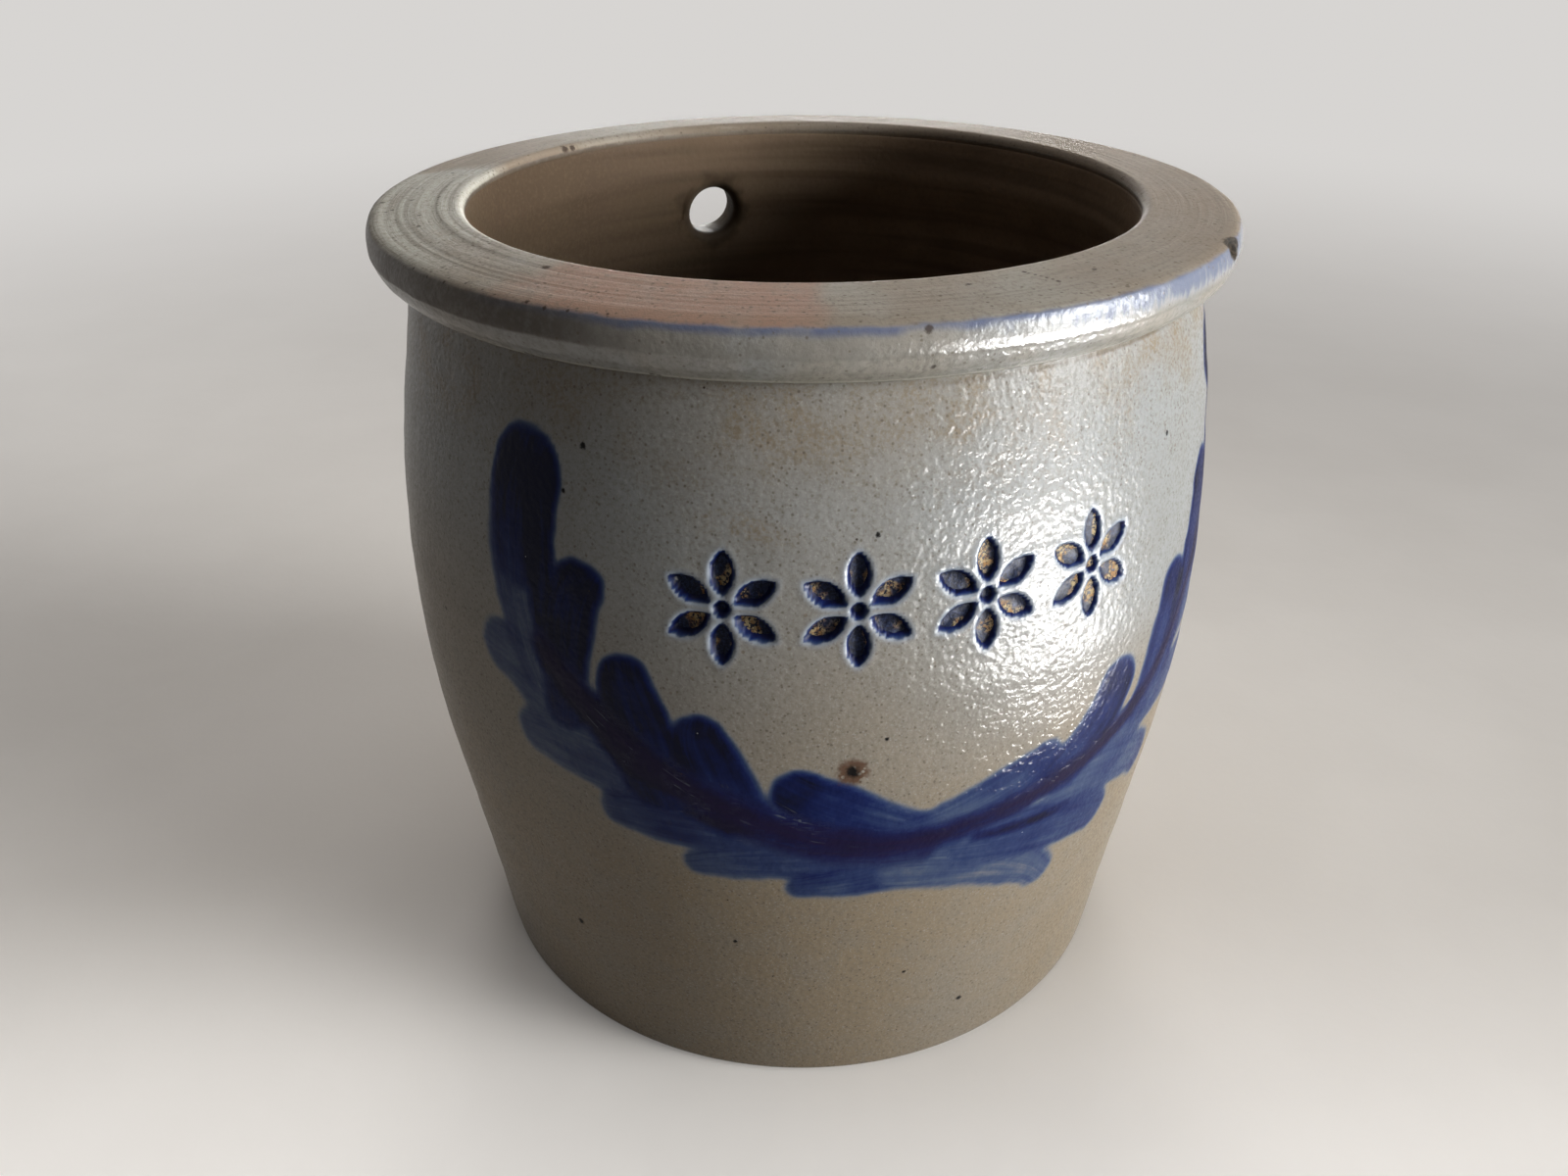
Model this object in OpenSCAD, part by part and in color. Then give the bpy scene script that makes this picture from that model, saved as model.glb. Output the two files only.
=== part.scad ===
// Small thrown stoneware salt crock with a hanging hole in its back, a row of
// stamped rosettes on its front and a brushed cobalt garland under them.
// The origin is the middle of the foot, +Z is up and the stamped front faces -Y.

/* [Body] */
// Largest outer radius, at the belly
belly_r = 63; // [50:0.5:80]
// How far the foot is drawn in from the belly
foot_in = 8.6; // [4:0.2:12]
// How far the neck is drawn in from the belly
neck_in = 6; // [4.4:0.2:10]
// Height of the belly above the foot
belly_z = 69.5; // [65:0.5:80]
// Height of the neck's top, where the collar starts
neck_z = 115.8; // [104:0.2:124]
// Thickness of the wall
wall_t = 8; // [5:0.2:11]
// Thickness of the floor
floor_t = 9; // [5:0.2:14]
// Bevel round the edge of the foot
foot_bevel = 1.2; // [0.4:0.1:3]

/* [Collar] */
// How far the collar stands out from the neck
collar_out = 5.5; // [4:0.1:10]
// Height of the collar, from the neck to the mouth's edge
collar_h = 8.9; // [7:0.1:10]
// Radius of the roll at the collar's outer edge
roll_r = 5.2; // [4.6:0.1:6]
// Fall of the top, from the mouth out to the roll
top_fall = 0.9; // [0.2:0.1:2]
// Rounding of the mouth's edge
lip_round = 1.5; // [0.5:0.1:3]

/* [Hanging hole] */
// Radius of the hole
hole_r = 4.4; // [2.5:0.1:5.4]
// Distance from the neck's top down to the middle of the hole
hole_drop = 6.6; // [6:0.1:20]

/* [Decoration] */
// Angle from the point opposite the hole to the middle of the stamps and the garland
decor_turn = -5; // [-20:0.5:20]

/* [Stamps] */
// Number of stamped rosettes
stamp_count = 4; // [1:1:5]
// Number of petals in a rosette
petal_count = 6; // [4:1:8]
// Distance between the middles of two rosettes, along the wall
stamp_pitch = 16.4; // [15.5:0.1:20]
// Height of the rosettes' middles above the foot
stamp_z = 88.5; // [84:0.5:96]
// Outer radius of a rosette
stamp_r = 7.4; // [5:0.1:7.6]
// Width of a petal
petal_w = 2.8; // [1.5:0.1:3.2]
// Radius of the dot in the middle of a rosette
dot_r = 1; // [0.5:0.1:1.2]
// Bare clay between the dot and the petals
petal_gap = 0.8; // [0.4:0.1:1.5]
// Depth to which the stamps are pressed
stamp_depth = 1.2; // [0.8:0.1:2]
// Thickness of the slip that lies in the stamps
stamp_slip_t = 0.5; // [0.2:0.1:0.7]

/* [Garland] */
// Thickness of the brushed slip
slip_t = 0.3; // [0.1:0.05:0.6]
// Height of the stem at the middle of the swag
swag_z = 52; // [46:0.5:56]
// Rise of the stem from the middle of the swag to its ends
swag_rise = 26; // [18:0.5:28]
// Angle from the middle of the swag to an end of the stem
swag_angle = 48; // [40:1:54]
// Width of the stem's stroke
stem_w = 3.4; // [2:0.1:5]
// Length of an upper leaf
upper_leaf_l = 16; // [10:0.5:19]
// Width of an upper leaf
upper_leaf_w = 8; // [5:0.5:10]
// Length of the leaf at each end of the stem
end_leaf_l = 29; // [20:0.5:32]
// Width of the leaf at each end of the stem
end_leaf_w = 12; // [7:0.5:13]
// Length of a lower leaf
lower_leaf_l = 18; // [12:0.5:21]
// Width of a lower leaf
lower_leaf_w = 8.5; // [5:0.5:11]

/* [Hidden] */

clay_colour = "#8f8a82";
collar_colour = "#a39a8c";
floor_colour = "#9a8a76";
cobalt_colour = "#26335f";
pale_cobalt_colour = "#4c5f86";
stem_colour = "#231f33";

// Facets of the turned shapes and their arcs, and of the small round shapes
turned_facets = 360;
round_facets = 96;
// Overrun of the cuts
overrun = 1;

// Places of the leaf roots along half the swag, from its middle to its end
upper_root_shares = [0.22, 0.5, 0.72, 0.93];
lower_root_shares = [0.12, 0.35, 0.56, 0.78, 0.97];
// Lean of each upper leaf away from upright, as a share of a right angle
upper_lean_shares = [0.5, 0.33, 0.25, -0.06];
// Lean of each lower leaf below level, as a share of a right angle
lower_lean_shares = [0.22, 0.2, 0.18, 0.12, -0.02];
// Lean of the leaf at each end of the stem, as a share of a right angle
end_lean_share = 0.05;
// Width of a leaf at its root, as a share of its full width
root_width_share = 0.45;

foot_r = belly_r - foot_in;
neck_r = belly_r - neck_in;
rim_r = neck_r + collar_out;

// The profile's arc, which runs from the neck over the belly
neck_rise = neck_z - belly_z;
arc_r = (neck_rise ^ 2 + neck_in ^ 2) / (2 * neck_in);
arc_x = belly_r - arc_r;

// Lean of the straight lower wall, which rises from the foot and touches the arc
foot_reach = norm([foot_r - arc_x, belly_z]);
lean = atan2(belly_z, foot_r - arc_x) - acos(arc_r / foot_reach);

mouth_r = wall_x(-wall_t, neck_z);
top_z = neck_z + collar_h;
roll_x = rim_r - roll_r;
hole_z = neck_z - hole_drop;

// A length that passes every outer face
far_r = max(belly_r, rim_r) + wall_t;

stamp_step = stamp_pitch / wall_x(0, stamp_z) * 180 / PI;
petal_l = stamp_r - dot_r - petal_gap;

// The swag is where a tilted plane meets the wall
swag_slope = swag_rise / (belly_r * (1 - cos(swag_angle)));
swag_tilt = atan(swag_slope);
stem_half = stem_w * cos(swag_tilt) / 2;
sides = [-1, 1];

// Point where the straight lower wall touches the arc, on the wall grown by an amount
function touch_point(grow) = [
    arc_x + (arc_r + grow) * cos(lean),
    belly_z - (arc_r + grow) * sin(lean)
];

// Angle above level in which the wall's outer face looks at a height
function wall_pitch(z) =
    z < touch_point(0).y ? -lean : asin((z - belly_z) / arc_r);

// Radius at a height, of the wall grown by an amount
function wall_x(grow, z) =
    let (touch = touch_point(grow))
    z < touch.y
        ? touch.x - (touch.y - z) * tan(lean)
        : arc_x + sqrt((arc_r + grow) ^ 2 - (z - belly_z) ^ 2);

// Height of the stem at an angle from the middle of the swag
function stem_z(angle) = swag_z + swag_slope * belly_r * (1 - cos(angle));

// Half section of the full body between two heights, grown by an amount
module body_section(grow, z_low, z_high) {
    touch = touch_point(grow);
    intersection() {
        union() {
            polygon([[0, 0], [wall_x(grow, 0), 0], touch, [0, touch.y]]);
            intersection() {
                translate([arc_x, belly_z])
                    circle(r = arc_r + grow, $fn = turned_facets);
                translate([0, touch.y])
                    square([far_r, neck_z - touch.y]);
            }
        }
        translate([0, z_low])
            square([far_r, z_high - z_low]);
    }
}

// Layer of the wall between two depths, counted from its outer face
module wall_layer(inner, outer, z_low) {
    rotate_extrude($fn = turned_facets)
        difference() {
            body_section(outer, z_low, neck_z);
            body_section(inner, z_low, neck_z);
        }
}

// A shape set square on the wall's outer face, at an angle from the front
module on_wall(angle, z) {
    rotate([0, 0, angle])
        translate([0, -wall_x(0, z), z])
            rotate([90 - wall_pitch(z), 0, 0])
                children();
}

// A flat shape sent out through the wall at an angle from the front
module through_wall(angle, z) {
    rotate([0, 0, angle])
        translate([0, 0, z])
            rotate([90, 0, 0])
                linear_extrude(far_r)
                    children();
}

// Pointed petal that starts at the origin and points up
module petal(length, width) {
    curve_r = (length ^ 2 + width ^ 2) / (4 * width);
    intersection_for (side = sides)
        translate([side * (curve_r - width / 2), length / 2])
            circle(r = curve_r, $fn = round_facets);
}

// Rosette of petals round a dot
module rosette() {
    circle(r = dot_r, $fn = round_facets);
    for (i = [0 : petal_count - 1])
        rotate(i * 360 / petal_count)
            translate([0, dot_r + petal_gap])
                petal(petal_l, petal_w);
}

// Row of rosettes that rise by a height from the bottom of the stamps
module rosette_row(height) {
    for (i = [0 : stamp_count - 1])
        on_wall(decor_turn + (i - (stamp_count - 1) / 2) * stamp_step, stamp_z)
            translate([0, 0, -stamp_depth])
                linear_extrude(height)
                    rosette();
}

// Brush stroke that starts at the origin, points up and ends round
module brush_leaf(length, width) {
    tip_r = width / 2;
    root_w = width * root_width_share;
    translate([0, length - tip_r])
        circle(r = tip_r, $fn = round_facets);
    polygon([
        [-root_w / 2, 0],
        [root_w / 2, 0],
        [tip_r, length - tip_r],
        [-tip_r, length - tip_r]
    ]);
}

// One leaf on each half of the swag, leaning outward from upright
module leaf_pair(root_share, lean_angle, length, width) {
    angle = root_share * swag_angle;
    for (side = sides)
        through_wall(side * angle, stem_z(angle))
            rotate(-side * lean_angle)
                brush_leaf(length, width);
}

// Slab along the swag's plane, from one height to another across the plane
module swag_slab(low, high) {
    translate([0, -belly_r, swag_z])
        rotate([swag_tilt, 0, 0])
            translate([-far_r, -far_r, low])
                cube([2 * far_r, 4 * far_r, high - low]);
}

// Wedge that holds the stem's angle
module swag_wedge() {
    half_w = far_r * tan(swag_angle);
    linear_extrude(top_z)
        polygon([[0, 0], [-half_w, -far_r], [half_w, -far_r]]);
}

module floor_disc() {
    color(floor_colour)
        rotate_extrude($fn = turned_facets)
            polygon([
                [0, 0],
                [foot_r - foot_bevel, 0],
                [wall_x(0, foot_bevel), foot_bevel],
                [wall_x(0, floor_t), floor_t],
                [0, floor_t]
            ]);
}

module body_wall() {
    color(clay_colour)
        difference() {
            wall_layer(-wall_t, 0, floor_t);
            translate([0, 0, hole_z])
                rotate([-90, 0, 0])
                    cylinder(r = hole_r, h = far_r, $fn = round_facets);
            rosette_row(stamp_depth + overrun);
        }
}

module rim_collar() {
    color(collar_colour)
        rotate_extrude($fn = turned_facets)
            difference() {
                union() {
                    translate([mouth_r, neck_z])
                        square([roll_x - mouth_r, collar_h]);
                    intersection() {
                        translate([roll_x, neck_z + roll_r])
                            circle(r = roll_r, $fn = round_facets);
                        translate([mouth_r, neck_z])
                            square([far_r - mouth_r, collar_h]);
                    }
                }
                polygon([
                    [mouth_r, top_z],
                    [rim_r, top_z - top_fall],
                    [rim_r, top_z + overrun],
                    [mouth_r, top_z + overrun]
                ]);
                difference() {
                    translate([mouth_r - overrun, top_z - lip_round])
                        square([lip_round + overrun, lip_round + overrun]);
                    translate([mouth_r + lip_round, top_z - lip_round])
                        circle(r = lip_round, $fn = round_facets);
                }
            }
}

module stamp_slip() {
    color(stem_colour)
        rosette_row(stamp_slip_t);
}

module garland_stem() {
    color(stem_colour)
        rotate([0, 0, decor_turn])
            intersection() {
                wall_layer(0, slip_t, floor_t);
                swag_slab(-stem_half, stem_half);
                swag_wedge();
            }
}

module upper_leaves() {
    color(cobalt_colour)
        rotate([0, 0, decor_turn])
            intersection() {
                wall_layer(0, slip_t, floor_t);
                swag_slab(stem_half, 2 * far_r);
                union() {
                    for (i = [0 : len(upper_root_shares) - 1])
                        leaf_pair(
                            upper_root_shares[i],
                            90 * upper_lean_shares[i],
                            upper_leaf_l,
                            upper_leaf_w
                        );
                    leaf_pair(1, 90 * end_lean_share, end_leaf_l, end_leaf_w);
                }
            }
}

module lower_leaves() {
    color(pale_cobalt_colour)
        rotate([0, 0, decor_turn])
            intersection() {
                wall_layer(0, slip_t, floor_t);
                swag_slab(-2 * far_r, -stem_half);
                for (i = [0 : len(lower_root_shares) - 1])
                    leaf_pair(
                        lower_root_shares[i],
                        90 * (1 + lower_lean_shares[i]),
                        lower_leaf_l,
                        lower_leaf_w
                    );
            }
}

floor_disc();
body_wall();
rim_collar();
stamp_slip();
garland_stem();
upper_leaves();
lower_leaves();
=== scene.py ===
import itertools
import math

import bmesh
import bpy
import numpy as np
from mathutils import Matrix, Vector


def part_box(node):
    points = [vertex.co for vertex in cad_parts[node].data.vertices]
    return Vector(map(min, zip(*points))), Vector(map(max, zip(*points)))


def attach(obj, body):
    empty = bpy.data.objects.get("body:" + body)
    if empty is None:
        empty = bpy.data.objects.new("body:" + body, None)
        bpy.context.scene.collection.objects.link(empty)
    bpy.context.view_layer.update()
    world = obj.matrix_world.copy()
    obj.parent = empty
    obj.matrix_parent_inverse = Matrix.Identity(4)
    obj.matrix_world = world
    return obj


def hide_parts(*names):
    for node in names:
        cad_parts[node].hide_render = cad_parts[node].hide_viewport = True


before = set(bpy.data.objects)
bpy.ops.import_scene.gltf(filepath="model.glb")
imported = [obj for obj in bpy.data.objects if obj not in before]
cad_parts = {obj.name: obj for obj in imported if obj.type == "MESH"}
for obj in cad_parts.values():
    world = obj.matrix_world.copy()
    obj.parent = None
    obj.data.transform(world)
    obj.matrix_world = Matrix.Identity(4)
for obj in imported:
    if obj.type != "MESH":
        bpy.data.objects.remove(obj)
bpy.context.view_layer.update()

# Lengths are in millimetres and angles in degrees, and the room and its lamps in metres. An angle
# round the pot starts at the front, opposite the hanging hole, and grows to the right.
MM = 0.001
FAR = 99.0

# Sizes of the solids
FOOT_IN = 8.6
NECK_IN = 6.0
BELLY_Z = 69.5
WALL_T = 8.0
ROLL_R = 5.2
TOP_FALL = 0.9
HOLE_R = 4.4
HOLE_DROP = 6.6
STAMP_COUNT = 4
PETAL_COUNT = 6
STAMP_Z = 88.5
STAMP_R = 7.4
STAMP_DEPTH = 1.2
STAMP_PITCH = 16.4
PETAL_W = 2.8
DOT_R = 1.0
PETAL_GAP = 0.8
DECOR_TURN = -5.0

BELLY_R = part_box("body_wall")[1].x / MM
NECK_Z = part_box("rim_collar")[0].z / MM
TOP_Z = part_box("rim_collar")[1].z / MM
RIM_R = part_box("rim_collar")[1].x / MM
FLOOR_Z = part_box("floor_disc")[1].z / MM

FOOT_R = BELLY_R - FOOT_IN
ARC_R = ((NECK_Z - BELLY_Z) ** 2 + NECK_IN ** 2) / (2 * NECK_IN)
ARC_X = BELLY_R - ARC_R
LEAN = math.atan2(BELLY_Z, FOOT_R - ARC_X) - math.acos(ARC_R / math.hypot(FOOT_R - ARC_X, BELLY_Z))
MOUTH_R = ARC_X + math.sqrt((ARC_R - WALL_T) ** 2 - (NECK_Z - BELLY_Z) ** 2)
HOLE_Z = NECK_Z - HOLE_DROP
PETAL_HALF_L = (STAMP_R - DOT_R - PETAL_GAP) / 2
PETAL_REACH = (STAMP_R + DOT_R + PETAL_GAP) / 2

# Finer forms: rounding of the hole outside (1) and inside (-1), of the mouth, foot and floor
HOLE_EDGES = {1: 1.0, -1: 1.7}
HOLE_BAND = 101.0
ROUNDING = np.radians((22, 45, 68, 90))
LIP_R = 1.2
FOOT_ROUND = 1.6
FOOT_FLAT_R = 46.0
FILLET_R = 9.0
FLOOR_R = 40.0
FLOOR_SINK = 0.35
SPIRAL_PITCH = 6.5
CHIP_TURN = 44.6
CHIP_Z = 122.9
CHIP_DEPTH = 1.1
CREASE_Z = 117.5
BAND_Z = 119.7
# Height of the painted highlight along the lower edge of the roll
LIP_HIGHLIGHT_Z = 116.75
EDGE_LINE_Z = 122.3
RUN_TOP_Z = 122.8
TOP_EDGE_Z = 123.3
EDGE_TURN = 26.0
SEAM_Z = 114.7

# Unevenness of the thrown clay. Waves are (turns, start, depth), noises (depth, size, shift).
WALL_WAVES = ((2, 40, 0.22), (3, 110, 0.12))
WALL_RINGS = ((0.07, 4.5, 0), (0.05, 1.9, 50))
WALL_DENTS = ((0.05, 7.0, 0), (0.022, 2.6, 31))
INNER_RINGS = ((0.28, 5.0, 0), (0.1, 2.2, 20))
ROLL_DENTS = ((0.1, 6.0, 0), (0.035, 2.2, 12))
BRUSH_EDGE = ((0.16, 1.7, 0), (0.22, 5.0, 9))
SLIP_LUMPS = ((0.1, 0.9, 0), (0.05, 0.45, 3))
SWELL_TURN = 58.0
SWELL_WIDTH = 23.0

# Columns of the wall's mesh as (first angle, last angle, step), finer where the stamps are
WALL_COLUMNS = (
    (-180, -170, 0.7), (-170, -100, 1.5), (-100, -64, 0.9), (-64, -38, 0.55), (-38, 28, 0.4),
    (28, 64, 0.55), (64, 80, 0.9), (80, 170, 1.5), (170, 180, 0.7),
)
# Rows of the wall's outer face as (lowest, highest, step)
WALL_ROWS = (
    (1.6, 30, 1.5), (30, 79, 0.75), (79, 98, 0.45), (98, 115.8, 1),
)
# Columns of the collar's mesh, finer at the chip
COLLAR_COLUMNS = (
    (-180, 41.5, 0.74), (41.5, 48.5, 0.16), (48.5, 180, 0.75),
)

# Brush strokes: root, bend and tip as (angle, height), half width at each, load of colour
UPPER_STROKES = (
    ((-51.6, 74), (-54.5, 88.5), (-53, 101.5), (3.4, 5.4, 5.6), 0.56),
    ((-54.6, 89), (-54.2, 96), (-53.1, 101.6), (3.6, 4.8, 5.2), 0.95),
    ((-49.8, 76), (-50.6, 88), (-51.4, 100.5), (1.8, 2.2, 2.8), 1.05),
    ((-48, 70), (-47, 82), (-45.2, 88.6), (3.4, 3.8, 3.4), 1.1),
    ((-36, 62), (-38.6, 72), (-39.6, 76.6), (5, 4.4, 3.6), 1),
    ((-27, 58.5), (-29.8, 66.5), (-30.6, 70.2), (5, 4.2, 3.2), 0.92),
    ((-5.5, 54.6), (-13.5, 58.4), (-18.8, 61.6), (3.2, 4.6, 3.9), 0.8),
    ((-4, 54.2), (5, 57), (12.8, 60.4), (2.8, 3.6, 3), 0.58),
    ((17, 57), (22.5, 62.5), (25.3, 67.5), (4.2, 4.2, 3.9), 0.84),
    ((33, 60), (36.2, 70), (38.3, 76.8), (3.6, 4, 4.2), 0.76),
    ((39, 64), (45.5, 78), (49, 88.3), (3.2, 4.6, 4.9), 0.82),
    ((50, 76), (57.6, 91), (61.5, 100.5), (3.4, 5, 5), 0.95),
    ((63, 97.5), (60.4, 102.2), (56.4, 105.6), (4.4, 5.2, 5.4), 0.95),
)
LOWER_STROKES = (
    ((-54, 72), (-38, 58.5), (-12, 48.5), (3.5, 4.6, 4), 0.5),
    ((-12, 48.5), (14, 48.5), (40, 61.5), (4, 4.2, 3.6), 0.38),
    ((-44, 68.5), (-53, 73.3), (-57.9, 75.2), (5, 4.9, 4.4), 0.41),
    ((-37, 61.5), (-47, 63.3), (-52.6, 63.7), (5.4, 4.9, 4.2), 0.43),
    ((-26, 55.5), (-36, 55.3), (-41.4, 55), (5.2, 4.2, 3.4), 0.54),
    ((-12, 50.5), (-25, 49.3), (-31.6, 48), (4.6, 3.2, 2.3), 0.46),
    ((0, 48.5), (-10, 46.2), (-18.8, 44.8), (4.8, 3.4, 2.3), 0.5),
    ((-5, 46.8), (8, 43.2), (16.2, 37.3), (4.6, 4.8, 3.4), 0.4),
    ((4, 49.5), (18, 46.3), (26, 43.6), (4.6, 4.8, 3.8), 0.54),
    ((19, 53.5), (31, 50.8), (38.2, 47), (4.6, 4.4, 3.8), 0.46),
    ((33, 59), (41, 58.6), (48, 59.5), (4.2, 4.4, 4), 0.5),
    ((41, 68), (50, 70), (56, 72), (4.4, 4.5, 4.2), 0.5),
)
# A smear of the stem's colour below it, and a darker stretch of the stem
SMEAR = ((-30.0, 57.5), (-17.0, 52.8), (-4.0, 50.2), (2.0, 3.4, 2.6))
STEM_SHADE = ((-51.0, 78.0), (-42.5, 68.4), (-31.0, 60.2), (1.4, 2.5, 1.4))
# Dark lines that the dry brush left beside the stem, as start and end
DRY_LINES = (
    ((-50.5, 76.6), (-47, 72.8)), ((-49.4, 77.4), (-46.4, 73.4)), ((-42.8, 66), (-36.4, 61.6)),
    ((-40.6, 63.6), (-33.6, 60.2)), ((-38.6, 65.2), (-34, 61.4)), ((-32.6, 57.4), (-25, 55.4)),
    ((-31.6, 60.6), (-24.4, 57.8)), ((-29.4, 56.2), (-22.6, 54.4)), ((4, 50.2), (19, 49.2)),
)
DRY_LINE_SAG = 0.3
DRY_LINE_HALF_WIDTHS = (0.8, 0.65, 0.2)
# The stem as (angle, height, half width)
STEM_PATH = (
    (-51, 79, 1.6), (-47, 74, 2.2), (-42, 68.8, 2.4), (-36, 63.6, 2.7), (-30, 59.6, 3.1),
    (-24, 56.6, 3.4), (-17, 53.8, 3.2), (-9, 52, 2.6), (-2, 52.1, 2.2), (5, 53.2, 2.1),
    (12, 54.6, 2.1), (20, 56.6, 2), (27, 58.8, 1.8), (33, 62, 1.7), (39, 67, 1.6), (44, 73, 1.5),
    (49, 80, 1.1),
)
STROKE_MARGIN = 0.9
STROKE_DABS = 40
STEM_DABS = 140
PAINT_R = 61.0
# How far each brushed part stands above the wall, so that no two faces coincide
SLIP_LIFTS = {"lower_leaves": 0.1, "upper_leaves": 0.13, "garland_stem": 0.16}
SLIP_SINK = 0.05
SLIP_BED = 0.35
SLIP_SLOTS = {"lower_leaves": "pale_cobalt", "upper_leaves": "leaf_cobalt", "garland_stem": "stem_cobalt"}

# Iron spots on the wall as (angle, height, radius)
IRON_SPOTS = (
    (-12.9, 65.3, 1.35), (7.1, 12.4, 0.7), (-44.8, 106.2, 0.6), (-47.3, 100.3, 0.4),
    (-53.5, 25.5, 0.75), (-3.6, 23.5, 0.4), (-10.5, 98, 0.45), (-9, 70, 0.4), (33.5, 101, 0.5),
    (-27.8, 32, 0.5),
)
# Dark pits and specks on the collar's top as (angle, radius, size)
TOP_SPOTS = (
    (-101.6, 60.4, 0.55), (-96.8, 58.5, 0.5), (-96, 59.3, 0.4), (-91.4, 54.8, 0.5),
    (-85.2, 55.6, 0.5), (-101.3, 56.2, 0.35), (-101.8, 52.4, 0.4), (-54.5, 52.4, 0.75),
    (-53, 48.3, 0.55), (-51.6, 48.3, 0.5), (-68.9, 61.7, 0.32), (-65.4, 61.9, 0.28),
    (-62, 61.8, 0.28), (-58.9, 61, 0.28), (-49, 61.6, 0.42), (-46.5, 61.9, 0.35),
    (-43.7, 61.8, 0.32), (-39.1, 61.6, 0.28), (-145, 48.9, 0.9), (-147, 48.9, 0.7), (20, 55, 0.45),
    (2, 53, 0.5), (11.2, 51.7, 0.4), (11.4, 52.3, 0.28), (11.8, 53, 0.3), (12.1, 53.7, 0.26),
    (12.4, 54.4, 0.3), (12.7, 55.1, 0.28), (12.9, 55.9, 0.4),
)
# Pits and cracks on its roll as (angle, height, size)
ROLL_SPOTS = (
    (-6.4, 122.9, 0.7), (-5.6, 118.6, 0.45), (-66.4, 116.8, 0.5), (-65.7, 116.7, 0.5),
    (-51, 116.8, 0.5), (-50.3, 116.7, 0.5), (-35, 116.8, 0.5), (-34.3, 116.7, 0.5),
    (-42, 117.4, 0.3),
)

# Colours of the wall
CLAY_COOL = (0.236, 0.238, 0.234)
# Warm brown of the lower wall, made darker as painted shade towards the bottom
CLAY_WARM_SHADED = (0.22, 0.171, 0.114)
CLAY_DARK = (0.14, 0.12, 0.095)
CLAY_PATCH = (0.2, 0.188, 0.168)
CLAY_LIGHT = (0.345, 0.338, 0.318)
PORE_BROWN = (0.095, 0.075, 0.052)
FLASH_BROWN = (0.19, 0.138, 0.082)
# Dark line under the collar: iron stain with painted shade
SEAM_STAIN_AND_SHADE = (0.085, 0.062, 0.036)
RING_BROWN = (0.075, 0.03, 0.012)
FLECK_BROWN = (0.13, 0.092, 0.06)
SPECK_BROWN = (0.03, 0.018, 0.012)
IRON_BLACK = (0.007, 0.006, 0.006)
# Pale bluish rim round the stamps: a cobalt tint with a painted edge highlight
STAMP_RIM_HIGHLIGHT = (0.24, 0.3, 0.4)
STEM_PURPLE = (0.01, 0.005, 0.03)
DRY_BRUSH = (0.085, 0.095, 0.12)
BUBBLE_WHITE = (0.4, 0.42, 0.44)
# Cobalt from thin to thick
COBALT_STOPS = (
    (0, (0.2, 0.22, 0.235)),
    (0.12, (0.115, 0.142, 0.188)),
    (0.28, (0.048, 0.07, 0.128)),
    (0.42, (0.017, 0.031, 0.094)),
    (0.56, (0.006, 0.013, 0.07)),
    (0.7, (0.003, 0.007, 0.048)),
    (0.9, (0.002, 0.003, 0.016)),
)
# Colours of the inside and of the underside
# The inside's clay is paler on the right as painted light and darker on the window's side as painted shade
INSIDE_LIT_CLAY = (0.25, 0.175, 0.117)
INSIDE_SHADED_CLAY = (0.062, 0.042, 0.027)
INSIDE_OLIVE = (0.085, 0.06, 0.037)
INSIDE_SHADE = (0.06, 0.041, 0.026)
INSIDE_GRAIN = (0.12, 0.084, 0.054)
INSIDE_LIT_TURN = 71.0
BORE_INSIDE = 0.8
UNDER_TAN = (0.3, 0.26, 0.21)
UNDER_BROWN = (0.24, 0.19, 0.14)
# Colours of the collar's top, its roll and its worn edge
TOP_TAN = (0.274, 0.245, 0.206)
TOP_BROWN = (0.242, 0.2, 0.157)
TOP_PINK = (0.285, 0.174, 0.125)
TOP_PALE = (0.365, 0.346, 0.297)
TOP_DARK = (0.2, 0.15, 0.108)
TOP_SCUFF = (0.19, 0.145, 0.115)
# Turning lines on the top: painted shade in the grooves and a painted highlight on the ridges
TOP_GROOVE_SHADE = (0.16, 0.135, 0.108)
TOP_RIDGE_HIGHLIGHT = (0.48, 0.46, 0.41)
TOP_GRAIN = (0.165, 0.135, 0.105)
ROLL_GREY = (0.25, 0.247, 0.235)
ROLL_TAN = (0.265, 0.24, 0.205)
ROLL_MOTTLE = (0.155, 0.14, 0.115)
ROLL_UPPER = (0.175, 0.16, 0.14)
# Dull glaze of the roll's left, dark partly by its own colour and partly as painted shade
ROLL_DULL_SHADE = (0.088, 0.073, 0.061)
ROLL_WASH = (0.058, 0.08, 0.158)
# Pale bluish glaze under the cobalt runs on the lit right of the roll, partly its own colour and partly
# painted sheen
ROLL_COOL_SHEEN = (0.36, 0.376, 0.395)
# Painted highlight on the lower edge of the roll
ROLL_LIP_HIGHLIGHT = (0.42, 0.4, 0.33)
WEAR_BROWN = (0.11, 0.075, 0.055)
CHIP_BLACK = (0.02, 0.015, 0.011)
CHIP_BROWN = (0.062, 0.048, 0.034)
# Colours of the slip in the stamps
SLIP_BLACK = (0.008, 0.01, 0.022)
SLIP_BLUE = (0.02, 0.03, 0.075)
OCHRE_DARK = (0.28, 0.15, 0.055)
OCHRE_PALE = (0.42, 0.32, 0.17)
# Colours of the sill as it is seen, and of the light that it throws back
SILL_PALE = (0.74, 0.7, 0.66)
SILL_GREY = (0.71, 0.67, 0.63)
SILL_BOUNCE = (0.55, 0.525, 0.495)
BLACK = (0.0, 0.0, 0.0)

# The room: its light on the pot, its brightness as it is seen, where the sill fades into it, and
# how much painted light brightens the front of the sill as it is seen
ROOM_LIGHT = 0.05
ROOM_SEEN = 0.68
ROOM_COLOUR = (1.0, 0.975, 0.95)
FADE_NEAR = 0.1
FADE_FAR = 0.75
FRONT_FAR = -0.06
FRONT_PAINTED_LIGHT = 0.4
STAGE_REACH = 14.0
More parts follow.
